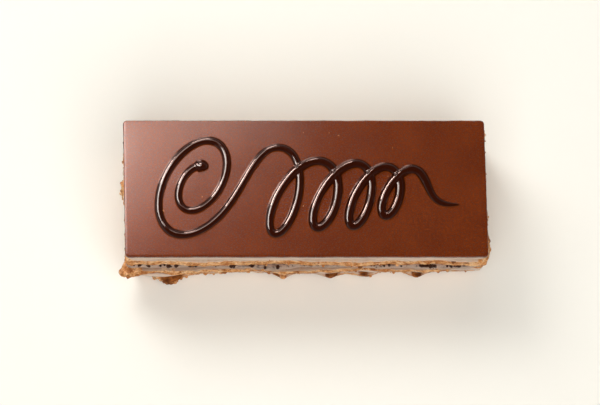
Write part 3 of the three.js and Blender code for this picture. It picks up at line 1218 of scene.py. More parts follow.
@dataclass
class GanacheLayer(CakeLayer):
    """Ganache: uneven and smeared, with dents where the knife pulled lumps out, darkened by painted
    shade.

    Attributes:
        swells: Height of the swells.
        drags: Height of the knife's drags.
        sunk: The dents' depth as a share of the pulled lumps'.
        dark_depth: Depth at which a dent's painted shade is as dark as it gets.
        dents: The lumps that were pulled out.
    """

    swells: float = 0.26
    drags: float = 0.08
    sunk: float = 0.8
    dark_depth: float = 0.5
    dents: Bubbles = Bubbles(cell=2.8, smallest=0.2, largest=0.75, share=0.4)

    def relief(self, points: Floats, rise: Floats) -> tuple[Floats, dict[str, Floats]]:
        """Swells of 3.4 mm and drags of 5 mm by 1.2, less the dents, which lie flat.

        Args:
            points: Places on the smooth side in millimetres, (rows, columns, 3).
            rise: Share of the layer's thickness at each row, (rows, 1).

        Returns:
            Distances outwards, (rows, columns), and named numbers of that shape.
        """
        swells = self.swells * layered_noise(points, 3.4, self.seed)
        level_drag, flat_dent = np.array([0.25, 0.25, 1.0]), np.array([0.8, 0.8, 1.3])
        drags = self.drags * layered_noise(points * level_drag, 1.2, self.seed + 5)
        dents = self.dents.depth(points * flat_dent, self.seed + 11)
        # Painted shade for the dents: their depth.
        marks = {"cavity_shade": np.clip(dents / self.dark_depth, 0.0, 1.0)}
        return swells + drags - self.sunk * dents, marks


# -------------------------------------------------------------------- the glaze


@dataclass
class Glaze:
    """The set glaze: a thin level slab with a softly rounded rim.

    Attributes:
        node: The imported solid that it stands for.
        slot: Its material slot.
        spacing: Distance between the grid's points.
        rim: Radius of its upper edge.
        corner: Radius of its corners seen from above.
        swell: How far the poured surface rises and falls.
        fray: How far its cut edge wanders.
        tuck: How far its lower edge is drawn in.
        seed: Pattern number.
    """

    node: str = "glaze"
    slot: str = "chocolate_glaze"
    spacing: float = 0.5
    rim: float = 0.45
    corner: float = 0.65
    swell: float = 0.05
    fray: float = 0.10
    tuck: float = 0.12
    seed: int = 71

    def build(
        self, plan: SlicePlan, bottom: Interface, top: float, material: bpy.types.Material
    ) -> bpy.types.Object:
        """Makes the top as a grid whose border carries on over the rim and down the side.

        At angle a the rim lies r sin(a) further out than the grid and r (1 - cos(a))
        lower. Under it the side drops straight, and ends in a ring inside the edge.

        Args:
            plan: The slice's plan.
            bottom: The boundary with the cream under it.
            top: Height of its surface.
            material: Its finish.

        Returns:
            The piece.
        """
        counts = np.round(2.0 * plan.half / self.spacing).astype(int)
        grid = self._top_grid(plan, counts)
        border = self._border(counts)
        edge = grid.reshape(-1, 2)[border]
        arc_centre = np.clip(edge, -(plan.half - self.corner), plan.half - self.corner)
        out = edge - arc_centre
        out /= np.linalg.norm(out, axis=-1, keepdims=True)
        angles = np.linspace(0.0, QUARTER, 8)[1:]
        inner_ring = -2.0
        side = [self.rim, self.rim, self.rim - self.tuck, inner_ring]
        outward = np.concatenate([self.rim * np.sin(angles), side])
        depth = top - bottom.height
        falls = [0.6 * depth, 0.85 * depth, depth, depth]
        drop = np.concatenate([self.rim * (1.0 - np.cos(angles)), falls])
        rows = edge[None] + outward[:, None, None] * out[None]
        places = np.concatenate([rows, -drop[:, None, None] * np.ones_like(rows[..., :1])], axis=-1)
        upright = np.array([1.0, 1.0, 0.35])
        fray = self.fray * layered_noise(places * upright, 2.4, self.seed)
        fray *= np.clip(outward / self.rim, 0.0, 1.0)[:, None]
        rows = rows + fray[..., None] * out[None]
        swell = self._swell(grid)
        lowered = top + swell.reshape(-1)[border] - drop[:, None]
        bottom_heights = bottom.heights(rows)
        side_heights = np.where((drop >= depth)[:, None], bottom_heights, lowered)
        surface = np.concatenate([plan.slanted(grid), (top + swell)[..., None]], axis=-1)
        side = np.concatenate([plan.slanted(rows), side_heights[..., None]], axis=-1)
        middle = np.array([[*plan.centre, bottom.height]])
        points = np.concatenate([surface.reshape(-1, 3), side.reshape(-1, 3), middle])
        faces = self._faces(counts, border, len(drop))
        piece = make_piece("glaze_poured", points, faces, material)
        settle(piece, self.slot, self.node)
        return piece

    def _top_grid(self, plan: SlicePlan, counts: Whole) -> Floats:
        """A grid over the level top, its corners drawn onto arcs.

        In a corner's square a point (a, b) from the arc's centre moves to
        (a, b) * max(a, b) / length(a, b).

        Args:
            plan: The slice's plan.
            counts: Steps along the slice and across it.

        Returns:
            Squared points, (along, across, 2).
        """
        half = plan.half - self.rim
        radius = self.corner
        lines = (np.linspace(-h, h, n + 1) for h, n in zip(half, counts))
        points = np.stack(np.meshgrid(*lines, indexing="ij"), axis=-1)
        past = np.maximum(np.abs(points) - (half - radius), 0.0)
        length = np.maximum(np.linalg.norm(past, axis=-1), 1e-9)
        pulled = past * (past.max(axis=-1) / length)[..., None]
        return np.sign(points) * (np.abs(points) - past + pulled)

    def _border(self, counts: Whole) -> Whole:
        """The grid's border as vertex numbers, anticlockwise from the front left."""
        numbers = np.arange(np.prod(counts + 1)).reshape(counts + 1)
        sides = [numbers[:-1, 0], numbers[-1, :-1], numbers[:0:-1, -1], numbers[0, :0:-1]]
        return np.concatenate(sides)

    def _swell(self, points: Floats) -> Floats:
        """The poured surface's slow rise and fall: noise with waves of 14 mm."""
        return self.swell * layered_noise(on_the_level(points), 14.0, self.seed + 7, 2)

    def _faces(self, counts: Whole, border: Whole, rows: int) -> list[Whole]:
        """The top's quads, the rim's and side's strips, and the fan under the slab.

        Args:
            counts: Steps of the top's grid along the slice and across it.
            border: The grid's border, as _border gives it.
            rows: How many rings the rim and side have.

        Returns:
            Arrays of vertex numbers: quads, then triangles.
        """
        numbers = np.arange(np.prod(counts + 1)).reshape(counts + 1)
        quads = [numbers[:-1, :-1], numbers[1:, :-1], numbers[1:, 1:], numbers[:-1, 1:]]
        top = np.stack(quads, axis=-1).reshape(-1, 4)
        size = len(border)
        rings = numbers.size + np.arange(rows * size).reshape(rows, size)
        rings = np.concatenate([border[None], rings])
        beside = np.roll(rings, -1, axis=1)
        side = np.stack([rings[1:], beside[1:], beside[:-1], rings[:-1]], axis=-1).reshape(-1, 4)
        under = fan_faces(rings[-1], numbers.size + rows * size, upward=False)
        return [np.concatenate([top, side]), under]


# ----------------------------------------------------------------- the flourish


@dataclass(frozen=True)
class Scroll:
    """The slanted oval scroll that opens anticlockwise from its heart.

    Attributes:
        centre: Its middle, from the middle of the glaze.
        half_width: Half its width before it slants.
        half_height: Half its height.
        turns: How often it goes round.
        inner: The innermost turn's size as a share of the outermost.
        ease: Power by which the turns open.
        leave: Direction from its centre at its end.
    """

    centre: tuple[float, float] = (-33.0, 2.0)
    half_width: float = 12.2
    half_height: float = 17.2
    turns: float = 1.66
    inner: float = 0.22
    ease: float = 0.9
    leave: float = math.radians(-58.0)

    def line(self, lean: float, count: int) -> Floats:
        """Points along the scroll.

        For t from 0 to 1 the angle is leave - 2π turns (1 - t) and the size is
        inner + (1 - inner) t^ease; x gets lean times y.

        Args:
            lean: Slant of the piping hand.
            count: How many points.

        Returns:
            Points, (count, 2).
        """
        t = np.linspace(0.0, 1.0, count)
        angle = self.leave - 2.0 * math.pi * self.turns * (1.0 - t)
        size = self.inner + (1.0 - self.inner) * t**self.ease
        y = self.half_height * size * np.sin(angle)
        x = self.half_width * size * np.cos(angle) + lean * y
        return np.stack([x, y], axis=-1) + np.array(self.centre)


@dataclass(frozen=True)
class LoopRow:
    """The row of hanging loops that shrinks to the right and runs out in a tail.

    Attributes:
        count: How many loops.
        start: Place of the first crest along the slice.
        pitch: First step from crest to crest.
        half_width: Half the first loop's width.
        half_height: Half the first loop's height.
        shrink: Each loop's size over the one before.
        middle: Height of the row's middle line.
        sway: How far the row wanders up and down.
        sway_pace: How fast it does, in radians a loop.
        uneven: Share by which the loops differ in height.
        uneven_pace: How fast they do, in radians a loop.
        tail_turn: Share of a loop that the tail takes.
        tail_reach: How far the tail runs on to the right.
        tail_flatten: How much flatter the tail ends than a loop.
    """

    count: int = 4
    start: float = -12.5
    pitch: float = 13.2
    half_width: float = 7.0
    half_height: float = 13.2
    shrink: float = 0.86
    middle: float = -1.4
    sway: float = 1.0
    sway_pace: float = 0.9
    uneven: float = 0.07
    uneven_pace: float = 2.6
    tail_turn: float = 0.5
    tail_reach: float = 14.0
    tail_flatten: float = 0.35

    def line(self, lean: float, count: int) -> Floats:
        """Points along the row.

        For k loops from the start the size is s = shrink^k, the crest has moved on
        by pitch (1 - s) / (1 - shrink), and the line swings by half_width s
        sin(2πk) and falls by half_height s cos(2πk). Past the last loop the tail's
        share, from 0 to 1, stills the swing and carries the line to the right.

        Args:
            lean: Slant of the piping hand.
            count: How many points.

        Returns:
            Points, (count, 2).
        """
        k = np.linspace(0.0, self.count + self.tail_turn, count)
        size = self.shrink**k
        tail = np.clip((k - self.count) / self.tail_turn, 0.0, 1.0)
        advance = self.pitch * (1.0 - size) / (1.0 - self.shrink)
        height = self.half_height * size * (1.0 + self.uneven * np.cos(self.uneven_pace * k))
        fall = height * (1.0 - tail * self.tail_flatten) * np.cos(2.0 * math.pi * k)
        swing = self.half_width * size * (1.0 - tail) * np.sin(2.0 * math.pi * k)
        middle = self.middle - self.sway * np.sin(self.sway_pace * k)
        x = self.start + advance + swing + lean * fall + self.tail_reach * tail**2
        return np.stack([x, middle + fall], axis=-1)


@dataclass
class Flourish:
    """The piped line: a glossy bead of chocolate that melts together where it crosses.

    Attributes:
        node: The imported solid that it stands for.
        slot: Its material slot.
        lean: Slant of the piping hand, sideways for each mm up the slice.
        scroll: The scroll that it begins with.
        loops: The loops that it runs out in.
        link_out: How far the joining curve carries on the way the scroll ends.
        link_back: How far back it comes from the way the loops start.
        scroll_radius: The bead's half width along the scroll.
        loop_radius: Its half width along the loops.
        tip_radius: Its half width at the tail's end.
        height: Height of the bead over its half width.
        slump: Power that draws the bead's flanks in above its foot.
        flare: How far its thin foot spreads, as a share of its half width.
        knob_radius: Half width of the drop where the line begins.
        knob_length: How far that drop reaches along the line.
        taper: Length over which the tail thins out.
        overlay: Share of its height that a line gains as it crosses one piped before.
        same_strand: Length of line that doesn't count as crossing itself.
        sink: How far the bead's foot lies in the glaze.
        uneven: Share by which the bead's width wanders with the hand.
        voxel: Size of the cells in which crossing strands are melted together.
        seed: Pattern number.
    """

    node: str = "piped_flourish"
    slot: str = "piped_chocolate"
    lean: float = math.tan(math.radians(17.0))
    scroll: Scroll = field(default_factory=Scroll)
    loops: LoopRow = field(default_factory=LoopRow)
    link_out: float = 14.0
    link_back: float = 9.0
    scroll_radius: float = 1.2
    loop_radius: float = 1.4
    tip_radius: float = 0.4
    height: float = 1.0
    slump: float = 1.35
    flare: float = 0.22
    knob_radius: float = 2.0
    knob_length: float = 3.4
    taper: float = 14.0
    overlay: float = 0.6
    same_strand: float = 12.0
    sink: float = 0.15
    uneven: float = 0.13
    voxel: float = 0.16
    seed: int = 91

    def centreline(self) -> Floats:
        """The whole line at even steps: scroll, joining curve and loops, (count, 2).

        The joining curve is a cubic from the scroll's end to the loops' start along
        their directions, (1-u)³a + 3(1-u)²u b + 3(1-u)u² c + u³ d.
        """
        scroll = self.scroll.line(self.lean, 1200)
        loops = self.loops.line(self.lean, 2400)
        leaving = scroll[-1] - scroll[-2]
        arriving = loops[1] - loops[0]
        start, end = scroll[-1], loops[0]
        out = start + self.link_out * leaving / np.linalg.norm(leaving)
        back = end - self.link_back * arriving / np.linalg.norm(arriving)
        u = np.linspace(0.0, 1.0, 300)[1:-1, None]
        middle = 3 * (1 - u) ** 2 * u * out + 3 * (1 - u) * u**2 * back
        link = (1 - u) ** 3 * start + middle + u**3 * end
        line = np.concatenate([scroll, link, loops])
        travelled = travelled_along(line)
        step = 0.3
        wanted = np.linspace(0.0, travelled[-1], int(travelled[-1] / step))
        return np.stack([np.interp(wanted, travelled, line[:, axis]) for axis in (0, 1)], axis=-1)

    def radius(self, travelled: Floats) -> Floats:
        """The bead's half width along the line.

        It eases from the scroll's to the loops' between 0.3 and 0.6 of the way, bulges
        as half an ellipse at the knob, wanders with the hand in waves of 9 mm, and
        narrows to the tip by the 0.6th power of the way that is left.

        Args:
            travelled: How far along the line each point lies, (count,).

        Returns:
            Half widths, (count,).
        """
        total = travelled[-1]
        widening = self.loop_radius - self.scroll_radius
        body = self.scroll_radius + widening * smooth_step((travelled / total - 0.3) / 0.3)
        knob = np.sqrt(np.clip(1.0 - (travelled / self.knob_length) ** 2, 0.0, 1.0))
        body = body + (self.knob_radius - body) * knob
        along = travelled[:, None] * np.array([1.0, 0.0, 0.0])
        body = body * (1.0 + self.uneven * layered_noise(along, 9.0, self.seed))
        to_tip = np.clip((total - travelled) / self.taper, 0.0, 1.0) ** 0.6
        return self.tip_radius + (body - self.tip_radius) * to_tip

    def lift(self, line: Floats, travelled: Floats, radius: Floats) -> Floats:
        """How far each point rides up over the strands piped before it.

        The greatest of overlay * height * r exp(-(distance / 2r)²) over all earlier
        points more than the same strand's length back.

        Args:
            line: The line's points, (count, 2).
            travelled: How far along it each lies, (count,).
            radius: The bead's half width at each, (count,).

        Returns:
            Heights, (count,).
        """
        distance = np.linalg.norm(line[:, None] - line[None], axis=-1)
        earlier = travelled[:, None] - travelled[None] > self.same_strand
        under = radius[None]
        rise = self.overlay * self.height * under * bell(distance, 1.0) ** (1.0 / (4.0 * under**2))
        return np.max(np.where(earlier, rise, 0.0), axis=1)

    def build(self, top: float, material: bpy.types.Material) -> bpy.types.Object:
        """Sweeps the bead, melts its crossings together and smooths it as liquid would.

        A point of the section at angle a lies height sin(a)^slump up where the sine
        is positive, and radius cos(a) across the line, widened towards the foot by
        flare (1 - sin(a)^slump)³. Both ends close as half circles.

        Args:
            top: Height of the glaze.
            material: Its finish.

        Returns:
            The piece.
        """
        line = self.centreline()
        travelled = travelled_along(line)
        radius = self.radius(travelled)
        height = self.height * radius + self.lift(line, travelled, radius)
        left_over = travelled[-1] - travelled
        start_round = np.sqrt(np.clip(1.0 - (1.0 - travelled / self.knob_radius) ** 2, 0.0, 1.0))
        end_round = np.sqrt(np.clip(1.0 - (1.0 - left_over / self.tip_radius) ** 2, 0.0, 1.0))
        ends = np.where(travelled < self.knob_radius, start_round, 1.0)
        ends *= np.where(travelled > travelled[-1] - self.tip_radius, end_round, 1.0)
        smallest = 0.05
        ends = np.maximum(ends, smallest)
        direction = np.gradient(line, axis=0)
        direction /= np.linalg.norm(direction, axis=1, keepdims=True)
        left = np.stack([-direction[:, 1], direction[:, 0]], axis=-1)
        corners = 28
        angle = np.linspace(0.0, 2.0 * math.pi, corners, endpoint=False)
        bulge = np.clip(np.sin(angle), 0.0, 1.0) ** self.slump
        across = (radius * ends)[:, None] * np.cos(angle) * (1.0 + self.flare * (1.0 - bulge) ** 3)
        up = (height * ends)[:, None] * bulge + self.sink * np.clip(np.sin(angle), -1.0, 0.0)
        plan = line[:, None] + across[..., None] * left[:, None]
        points = np.concatenate([plan, up[..., None]], axis=-1)
        low, high = (np.array(corner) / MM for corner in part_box(self.node))
        middle = (points.min(axis=(0, 1)) + points.max(axis=(0, 1))) / 2.0
        points[..., :2] += ((low + high) / 2.0 - middle)[:2]
        points[..., 2] += top
        rows = len(line)
        centre = rows * corners
        vertices = np.concatenate([points.reshape(-1, 3), points[[0, -1]].mean(axis=1)])
        first, last = np.arange(corners), (rows - 1) * corners + np.arange(corners)
        caps = [fan_faces(first, centre, upward=False), fan_faces(last, centre + 1, upward=True)]
        faces = [strip_faces(rows, corners), np.concatenate(caps)]
        bead = make_piece(self.node + "_bead", vertices, faces, material)
        self._melt(bead)
        self._mark_rise(bead, top)
        settle(bead, self.slot, self.node)
        return bead

    def _melt(self, bead: bpy.types.Object) -> None:
        """Joins crossing strands into one skin and rounds the join.

        Args:
            bead: The swept bead, which keeps its finish.
        """
        remesh = bead.modifiers.new("melt", "REMESH")
        remesh.mode = "VOXEL"
        remesh.voxel_size = self.voxel * MM
        remesh.use_smooth_shade = True
        flow = bead.modifiers.new("flow", "SMOOTH")
        flow.factor = 0.5
        flow.iterations = 7
        depsgraph = bpy.context.evaluated_depsgraph_get()
        melted = bpy.data.meshes.new_from_object(bead.evaluated_get(depsgraph))
        bead.modifiers.clear()
        melted.name = bead.data.name
        bead.data = melted

    def _mark_rise(self, bead: bpy.types.Object, top: float) -> None:
        """Marks how high each point stands over the glaze, as a share of the bead's height."""
        rise = (points_of(bead.data)[:, 2] - top) / (self.height * self.loop_radius)
        mark_points(bead.data, "rise", np.clip(rise, 0.0, 1.0))


# ------------------------------------------------------------------- the crumbs


class CrumbKind(Enum):
    """What a loose crumb is made of, with its material slot."""

    SPONGE = "almond_sponge"
    CHOCOLATE = "chocolate_ganache"


@dataclass
class Crumbs:
    """Many small broken lumps of one kind, joined in one piece.

    Attributes:
        name: The piece's name.
        kind: What they are made of.
        smallest: Least half width.
        largest: Greatest half width.
        flatness: Height over width.
        seed: Seed of the random draws.
        rarity: Power of the draw for size: the higher, the rarer the large ones.
        rough: How deep noise dents them, as a share of their size.
        floor: Least height over the table.
    """

    name: str
    kind: CrumbKind
    smallest: float
    largest: float
    flatness: float
    seed: int
    rarity: float = 2.2
    rough: float = 0.45
    floor: float = 0.02

    def build(self, centres: Floats, material: bpy.types.Material) -> bpy.types.Object:
        """Puts a lump at each centre.

        A lump is a sphere of 6 rings by 8 points that is stretched by a random size
        along each axis and dented by noise, taken at a place of its own for each lump.

        Args:
            centres: Places in millimetres, (count, 3).
            material: Their finish.

        Returns:
            The piece.
        """
        random = np.random.default_rng(self.seed)
        count = len(centres)
        rings, around = 6, 8
        latitude = np.linspace(-QUARTER, QUARTER, rings + 2)[1:-1]
        turn = np.linspace(0.0, 2.0 * math.pi, around, endpoint=False)
        lat, lon = np.meshgrid(latitude, turn, indexing="ij")
        across = np.cos(lat)
        ball = np.stack([across * np.cos(lon), across * np.sin(lon), np.sin(lat)], axis=-1)
        ball = np.concatenate([ball.reshape(-1, 3), [[0.0, 0.0, -1.0], [0.0, 0.0, 1.0]]])
        size = self.smallest + (self.largest - self.smallest) * random.random(count) ** self.rarity
        flat = np.array([1.0, 1.0, self.flatness])
        stretch = size[:, None] * random.uniform(0.7, 1.3, (count, 3)) * flat
        apart = 7.0
        places = ball[None] + apart * np.arange(count)[:, None, None]
        dents = 1.0 + self.rough * layered_noise(places, 0.9, self.seed, 2)
        points = centres[:, None] + stretch[:, None] * ball[None] * dents[..., None]
        points[..., 2] = np.maximum(points[..., 2], self.floor)
        strips = strip_faces(rings, around)
        bottom = fan_faces(np.arange(around), rings * around, upward=False)
        top = fan_faces((rings - 1) * around + np.arange(around), rings * around + 1, upward=True)
        offset = np.arange(count)[:, None, None] * len(ball)
        quads = (strips[None] + offset).reshape(-1, 4)
        triangles = (np.concatenate([bottom, top])[None] + offset).reshape(-1, 3)
        browned = np.repeat(random.random(count) ** 3, len(ball))
        marks = {"cavity_shade": np.zeros(len(browned)), "browned": browned}
        piece = make_piece(self.name, points, [quads, triangles], material, marks)
        settle(piece, self.kind.value)
        return piece


# ----------------------------------------------------------- the whole cake slice


@dataclass
class OperaCake:
    """The slice: its stack of layers, the glaze, the flourish and the crumbs.

    Attributes:
        clumps: Clumps of chocolate along the front: place, spread and how many bits.
        loose_bits: How many more chocolate bits lie round the ganache's edge.
        sheet_crumbs: How many sponge crumbs cling to each sheet's side.
        strays: How many crumbs have strayed onto the glaze.
        plan: The slice's plan.
        sponge: The sponge's finish.
        cream: The buttercream's finish.
        ganache: The ganache's finish.
    """

    frame: dict
    clumps: tuple[tuple[float, float, int], ...] = (
        (-48.0, 0.5, 5),
        (-40.5, 1.2, 8),
        (-33.5, 0.7, 5),
        (-29.5, 0.5, 4),
        (-23.0, 1.2, 9),
        (-17.0, 0.6, 5),
        (0.5, 1.3, 9),
        (11.0, 0.5, 4),
        (22.0, 0.8, 4),
        (37.3, 1.2, 22),
        (45.5, 0.8, 6),
    )
    loose_bits: int = 90
    sheet_crumbs: int = 110
    strays: int = 13
    plan: SlicePlan = field(init=False)
    sponge: bpy.types.Material = field(init=False)
    cream: bpy.types.Material = field(init=False)
    ganache: bpy.types.Material = field(init=False)

    def __post_init__(self) -> None:
        """Reads the plan and makes the finishes that several layers share."""
        self.plan = SlicePlan.from_glaze()
        self.sponge = SpongeFinish().material()
        self.cream = ButtercreamFinish().material()
        self.ganache = GanacheFinish().material()

    def layers(self) -> list[tuple[CakeLayer, bpy.types.Material, float]]:
        """The layers from the foot up, each with its finish and the waviness of its top."""
        sponge = {"slot": "almond_sponge", "spacing": 0.24, "rim": 0.3}
        cream = {"slot": "coffee_buttercream", "spacing": 0.36, "rim": 0.25}
        droops = (Droop(-0.2, 5.0, 1.2), Droop(0.84, 6.0, 3.5))
        browned = (
            Browning(-0.76, -1.05, 4.0),
            Browning(-0.18, -1.05, 2.0),
            Browning(0.14, -1.05, 2.6),
            Browning(0.32, -1.05, 2.4),
            Browning(0.40, -1.05, 1.8),
            Browning(0.61, -1.05, 2.4),
            Browning(-0.3, 1.0, 4.0),
        )
        base = SpongeSheet("sponge_base", seed=101, smear=0.2, browned=browned, skin=0.16, **sponge)
        drooping = {"smear": 1.5, "smear_of": Dragged.GANACHE, "droops": droops}
        middle = SpongeSheet("sponge_middle", seed=303, **drooping, **sponge)
        return [
            (base, self.sponge, 0.35),
            (CreamLayer("cream_lower", seed=202, **cream), self.cream, 0.30),
            (middle, self.sponge, 0.40),
            (GanacheLayer("ganache", "chocolate_ganache", 0.3, 0.25, 404), self.ganache, 0.45),
            (SpongeSheet("sponge_top", seed=505, smear=0.9, **sponge), self.sponge, 0.28),
            (CreamLayer("cream_upper", seed=606, seam=0.45, **cream), self.cream, 0.06),
        ]

    def build(self) -> None:
        """Builds every piece of the slice."""
        below = Interface(0.0, 0.0, 1)
        stack = []
        first_seed = 11
        for number, (layer, material, wave) in enumerate(self.layers()):
            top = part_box(layer.node)[1].z / MM
            above = Interface(top, wave, first_seed + number)
            layer.build(self.plan, self.frame["nodes"][layer.node], below, above, material)
            stack.append(layer)
            below = above
        glaze_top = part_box("glaze")[1].z / MM
        Glaze().build(self.plan, below, glaze_top, GlazeFinish().material())
        Flourish().build(glaze_top, PipingFinish().material())
        self.crumbs(stack, glaze_top)

    def crumbs(self, stack: list[CakeLayer], glaze_top: float) -> None:
        """Scatters sponge crumbs and chocolate bits over the cut sides and the glaze.

        Args:
            stack: The layers from the foot up.
            glaze_top: Height of the glaze.
        """
        random = np.random.default_rng(5)
        sheets = [layer for layer in stack if isinstance(layer, SpongeSheet)]
        ganache = next(layer for layer in stack if isinstance(layer, GanacheLayer))
        places = [self._on_side(random, sheet, self.sheet_crumbs, 0.25) for sheet in sheets]
        crumbs = Crumbs("sponge_crumbs", CrumbKind.SPONGE, 0.18, 0.75, 0.8, 41)
        crumbs.build(np.concatenate(places), self.sponge)
        bits = Crumbs("chocolate_bits", CrumbKind.CHOCOLATE, 0.16, 0.7, 0.7, 43)
        bits.build(self._chocolate_places(random, ganache), ChocolateFinish().material())
        spread = random.uniform(-0.92, 0.92, (self.strays, 2)) * self.plan.half
        resting = np.full(self.strays, glaze_top + 0.08)
        specks = np.column_stack([self.plan.slanted(spread), resting])
        Crumbs("stray_crumbs", CrumbKind.SPONGE, 0.14, 0.3, 0.8, 47).build(specks, self.sponge)

    def _on_side(
        self, random: np.random.Generator, layer: CakeLayer, count: int, out: float
    ) -> Floats:
        """Places on a layer's cut side, more of them where it is torn.

        Of four times as many random places, those with the least draw over
        (0.35 + millimetres torn) are kept.

        Args:
            random: Source of the random draws.
            layer: The layer.
            count: How many places.
            out: How far out of the side they may stand.

        Returns:
            Places in millimetres, (count, 3).
        """
        low, high = layer.side.heights[[0, -1]]
        tries = 4 * count
        heights = low + (high - low) * random.random(tries)
        place, outward = layer.side.surface(random.random(tries), heights)
        torn = np.clip(self.plan.stand(self.plan.squared(place)), 0.0, 1.5)
        kept = np.argsort(random.random(tries) / (0.35 + torn))[:count]
        return place[kept] + outward[kept] * random.uniform(-0.15, out, (count, 1))

    def _chocolate_places(self, random: np.random.Generator, ganache: CakeLayer) -> Floats:
        """Places of chocolate bits along the ganache's upper edge.

        Nearly half lie in clumps along the front, given by their place along the slice
        and their spread; the rest lie all round.

        Args:
            random: Source of the random draws.
            ganache: The ganache layer.

        Returns:
            Places in millimetres, (count, 3).
        """
        centre, spread, number = np.array(self.clumps).T
        number = number.astype(int)
        strewn = random.normal(0.0, 1.0, number.sum())
        along = np.repeat(centre, number) + np.repeat(spread, number) * strewn
        front = np.clip((along + self.plan.core[0]) / self.plan.around, 0.0, 1.0)
        ways = np.concatenate([front, random.random(self.loose_bits)])
        edge = ganache.side.heights[-1]
        in_clumps = random.normal(0.1, 0.45, len(front))
        heights = edge + np.concatenate([in_clumps, random.normal(0.0, 0.4, self.loose_bits)])
        place, outward = ganache.side.surface(ways, np.minimum(heights, edge))
        place[:, 2] = heights
        return place + outward * random.uniform(-0.05, 0.3, (len(ways), 1))


# ------------------------------------------------------------------- the studio


@dataclass(frozen=True)
class SoftBox:
    """A square soft light aimed at the cake.

    Attributes:
        name: Its name.
        place: Where it stands, in millimetres.
        size: Its side.
        power: Its power in watts.
        colour: Its sRGB hex colour.
        fills: Whether it lights matt surfaces.
        shines: Whether glossy surfaces show it.
    """

    name: str
    place: tuple[float, float, float]
    size: float
    power: float
    colour: str = "#fffefc"
    fills: bool = True
    shines: bool = True

    def build(self) -> None:
        """Adds the light, facing the middle of the cake."""
        light = bpy.data.lights.new(self.name, "AREA")
        light.shape = "SQUARE"
        light.size = self.size * MM
        light.energy = self.power
        light.color = linear(self.colour)[:3]
        lamp = bpy.data.objects.new(self.name, light)
        lamp.location = np.array(self.place) * MM
        lamp.rotation_euler = lamp.location.to_track_quat("Z", "Y").to_euler()
        lamp.visible_diffuse = self.fills
        lamp.visible_glossy = self.shines
        lamp.visible_camera = False
        bpy.context.scene.collection.objects.link(lamp)


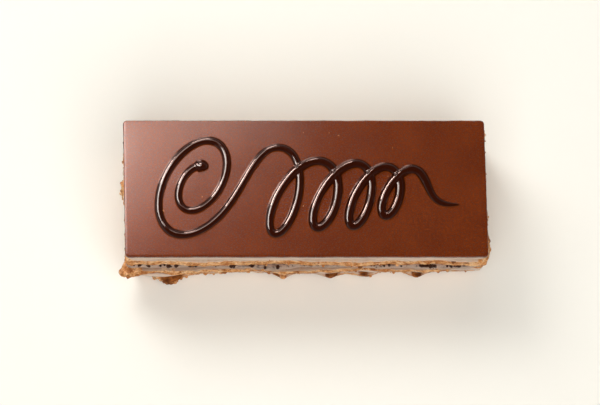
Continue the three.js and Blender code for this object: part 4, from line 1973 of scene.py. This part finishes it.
@dataclass
class Studio:
    """A plain pale table, soft daylight from the back left, and the camera.

    Attributes:
        table_radius: Radius of the table top.
        elevation: How steeply the camera looks down, in degrees.
        distance: From the camera to its target.
        lens: Its focal length in millimetres.
        sensor: Width of its sensor in millimetres.
        far_clip: How far it sees, in metres.
        target: Where it looks, on the level of the glaze.
        window: Direction in which the room is brightest low down.
        lights: The soft lights: three for matt surfaces and four for glossy ones.
    """

    table_radius: float = 4000.0
    elevation: float = 75.75
    distance: float = 1502.0
    lens: float = 297.3
    sensor: float = 36.0
    far_clip: float = 100.0
    target: tuple[float, float] = (-1.31, -3.9)
    window: tuple[float, float, float] = (-0.67, 0.74, 0.0)
    lights: tuple[SoftBox, ...] = (
        SoftBox("room_front", (300.0, -1250.0, 1950.0), 2400.0, 56.0, shines=False),
        SoftBox("room_back", (-300.0, 1500.0, 2200.0), 1600.0, 14.0, shines=False),
        SoftBox("daylight", (-330.0, 380.0, 580.0), 340.0, 2.3, shines=False),
        SoftBox("glint", (-560.0, 460.0, 350.0), 190.0, 7.0, "#ffd8cb", fills=False),
        SoftBox("back_glint", (-150.0, 700.0, 420.0), 220.0, 4.5, "#ffd5c7", fills=False),
        SoftBox("sheen", (-60.0, 88.0, 202.0), 84.0, 0.18, "#ffe6da", fills=False),
        SoftBox("edge_sheen", (-88.0, 24.0, 102.0), 56.0, 0.18, "#fff5ee", fills=False),
    )

    def build(self, glaze_top: float) -> None:
        """Adds the table, the lights, the surroundings and the camera.

        Args:
            glaze_top: Height of the glaze, at which the camera looks.
        """
        self._table()
        for light in self.lights:
            light.build()
        self._surroundings()
        self._camera(glaze_top)
        bpy.context.scene.view_settings.view_transform = "Standard"

    def _table(self) -> None:
        """A large disc just under the cake."""
        corners = 96
        turn = np.linspace(0.0, 2.0 * math.pi, corners, endpoint=False)
        ring = np.stack([np.cos(turn), np.sin(turn)], axis=-1) * self.table_radius
        points = on_the_level(np.concatenate([ring, np.zeros((1, 2))]))
        faces = [fan_faces(np.arange(corners), corners, upward=True)]
        table = make_piece("table", points, faces, TableFinish().material())

    def _surroundings(self) -> None:
        """A room that glows low down, most towards its window, and shows plain and pale itself."""
        world = bpy.data.worlds.new("room")
        bpy.context.scene.world = world
        world.use_nodes = True
        tree = world.node_tree
        place = add_node(tree, "TexCoord").outputs["Generated"]
        height = add_node(tree, "SeparateXYZ", {"Vector": place}).outputs["Z"]
        towards = {FIRST: place, SECOND: self.window}
        facing = add_node(tree, "VectorMath", towards, operation="DOT_PRODUCT").outputs["Value"]
        around = {VALUE: facing, LOW: -0.2, HIGH: 0.95, LEAST: 0.15, MOST: 0.9}
        side = add_node(tree, "MapRange", around).outputs["Result"]
        upward = {VALUE: height, LOW: 0.5, HIGH: 0.15, LEAST: 0.02, MOST: 1.0}
        low = add_node(tree, "MapRange", upward, interpolation_type="SMOOTHSTEP").outputs["Result"]
        both = {FIRST: side, SECOND: low}
        glow = add_node(tree, "Math", both, operation="MULTIPLY").outputs["Value"]
        seen = add_node(tree, "LightPath").outputs["Is Camera Ray"]
        strength = add_node(tree, "Mix", {"Factor": seen, "A": glow, "B": 0.95}).outputs["Result"]
        feed(tree, tree.nodes["Background"], {"Color": "#fffefb", "Strength": strength})

    def _camera(self, glaze_top: float) -> None:
        """A long lens high over the front of the cake.

        Args:
            glaze_top: Height of the glaze, at which it looks.
        """
        camera = bpy.data.objects.new("camera", bpy.data.cameras.new("camera"))
        camera.data.lens = self.lens
        camera.data.sensor_width = self.sensor
        camera.data.clip_end = self.far_clip
        angle = math.radians(self.elevation)
        away = np.array([0.0, -math.cos(angle), math.sin(angle)]) * self.distance
        camera.location = (np.array([*self.target, glaze_top]) + away) * MM
        camera.rotation_euler = (QUARTER - angle, 0.0, 0.0)
        bpy.context.scene.collection.objects.link(camera)
        bpy.context.scene.camera = camera


def main() -> None:
    """Loads the frame, dresses the cake and sets up the studio."""
    logging.basicConfig(level=logging.INFO, format="%(name)s %(message)s")
    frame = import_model()
    OperaCake(frame).build()
    Studio().build(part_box("glaze")[1].z / MM)


if __name__ == "__main__":
    main()
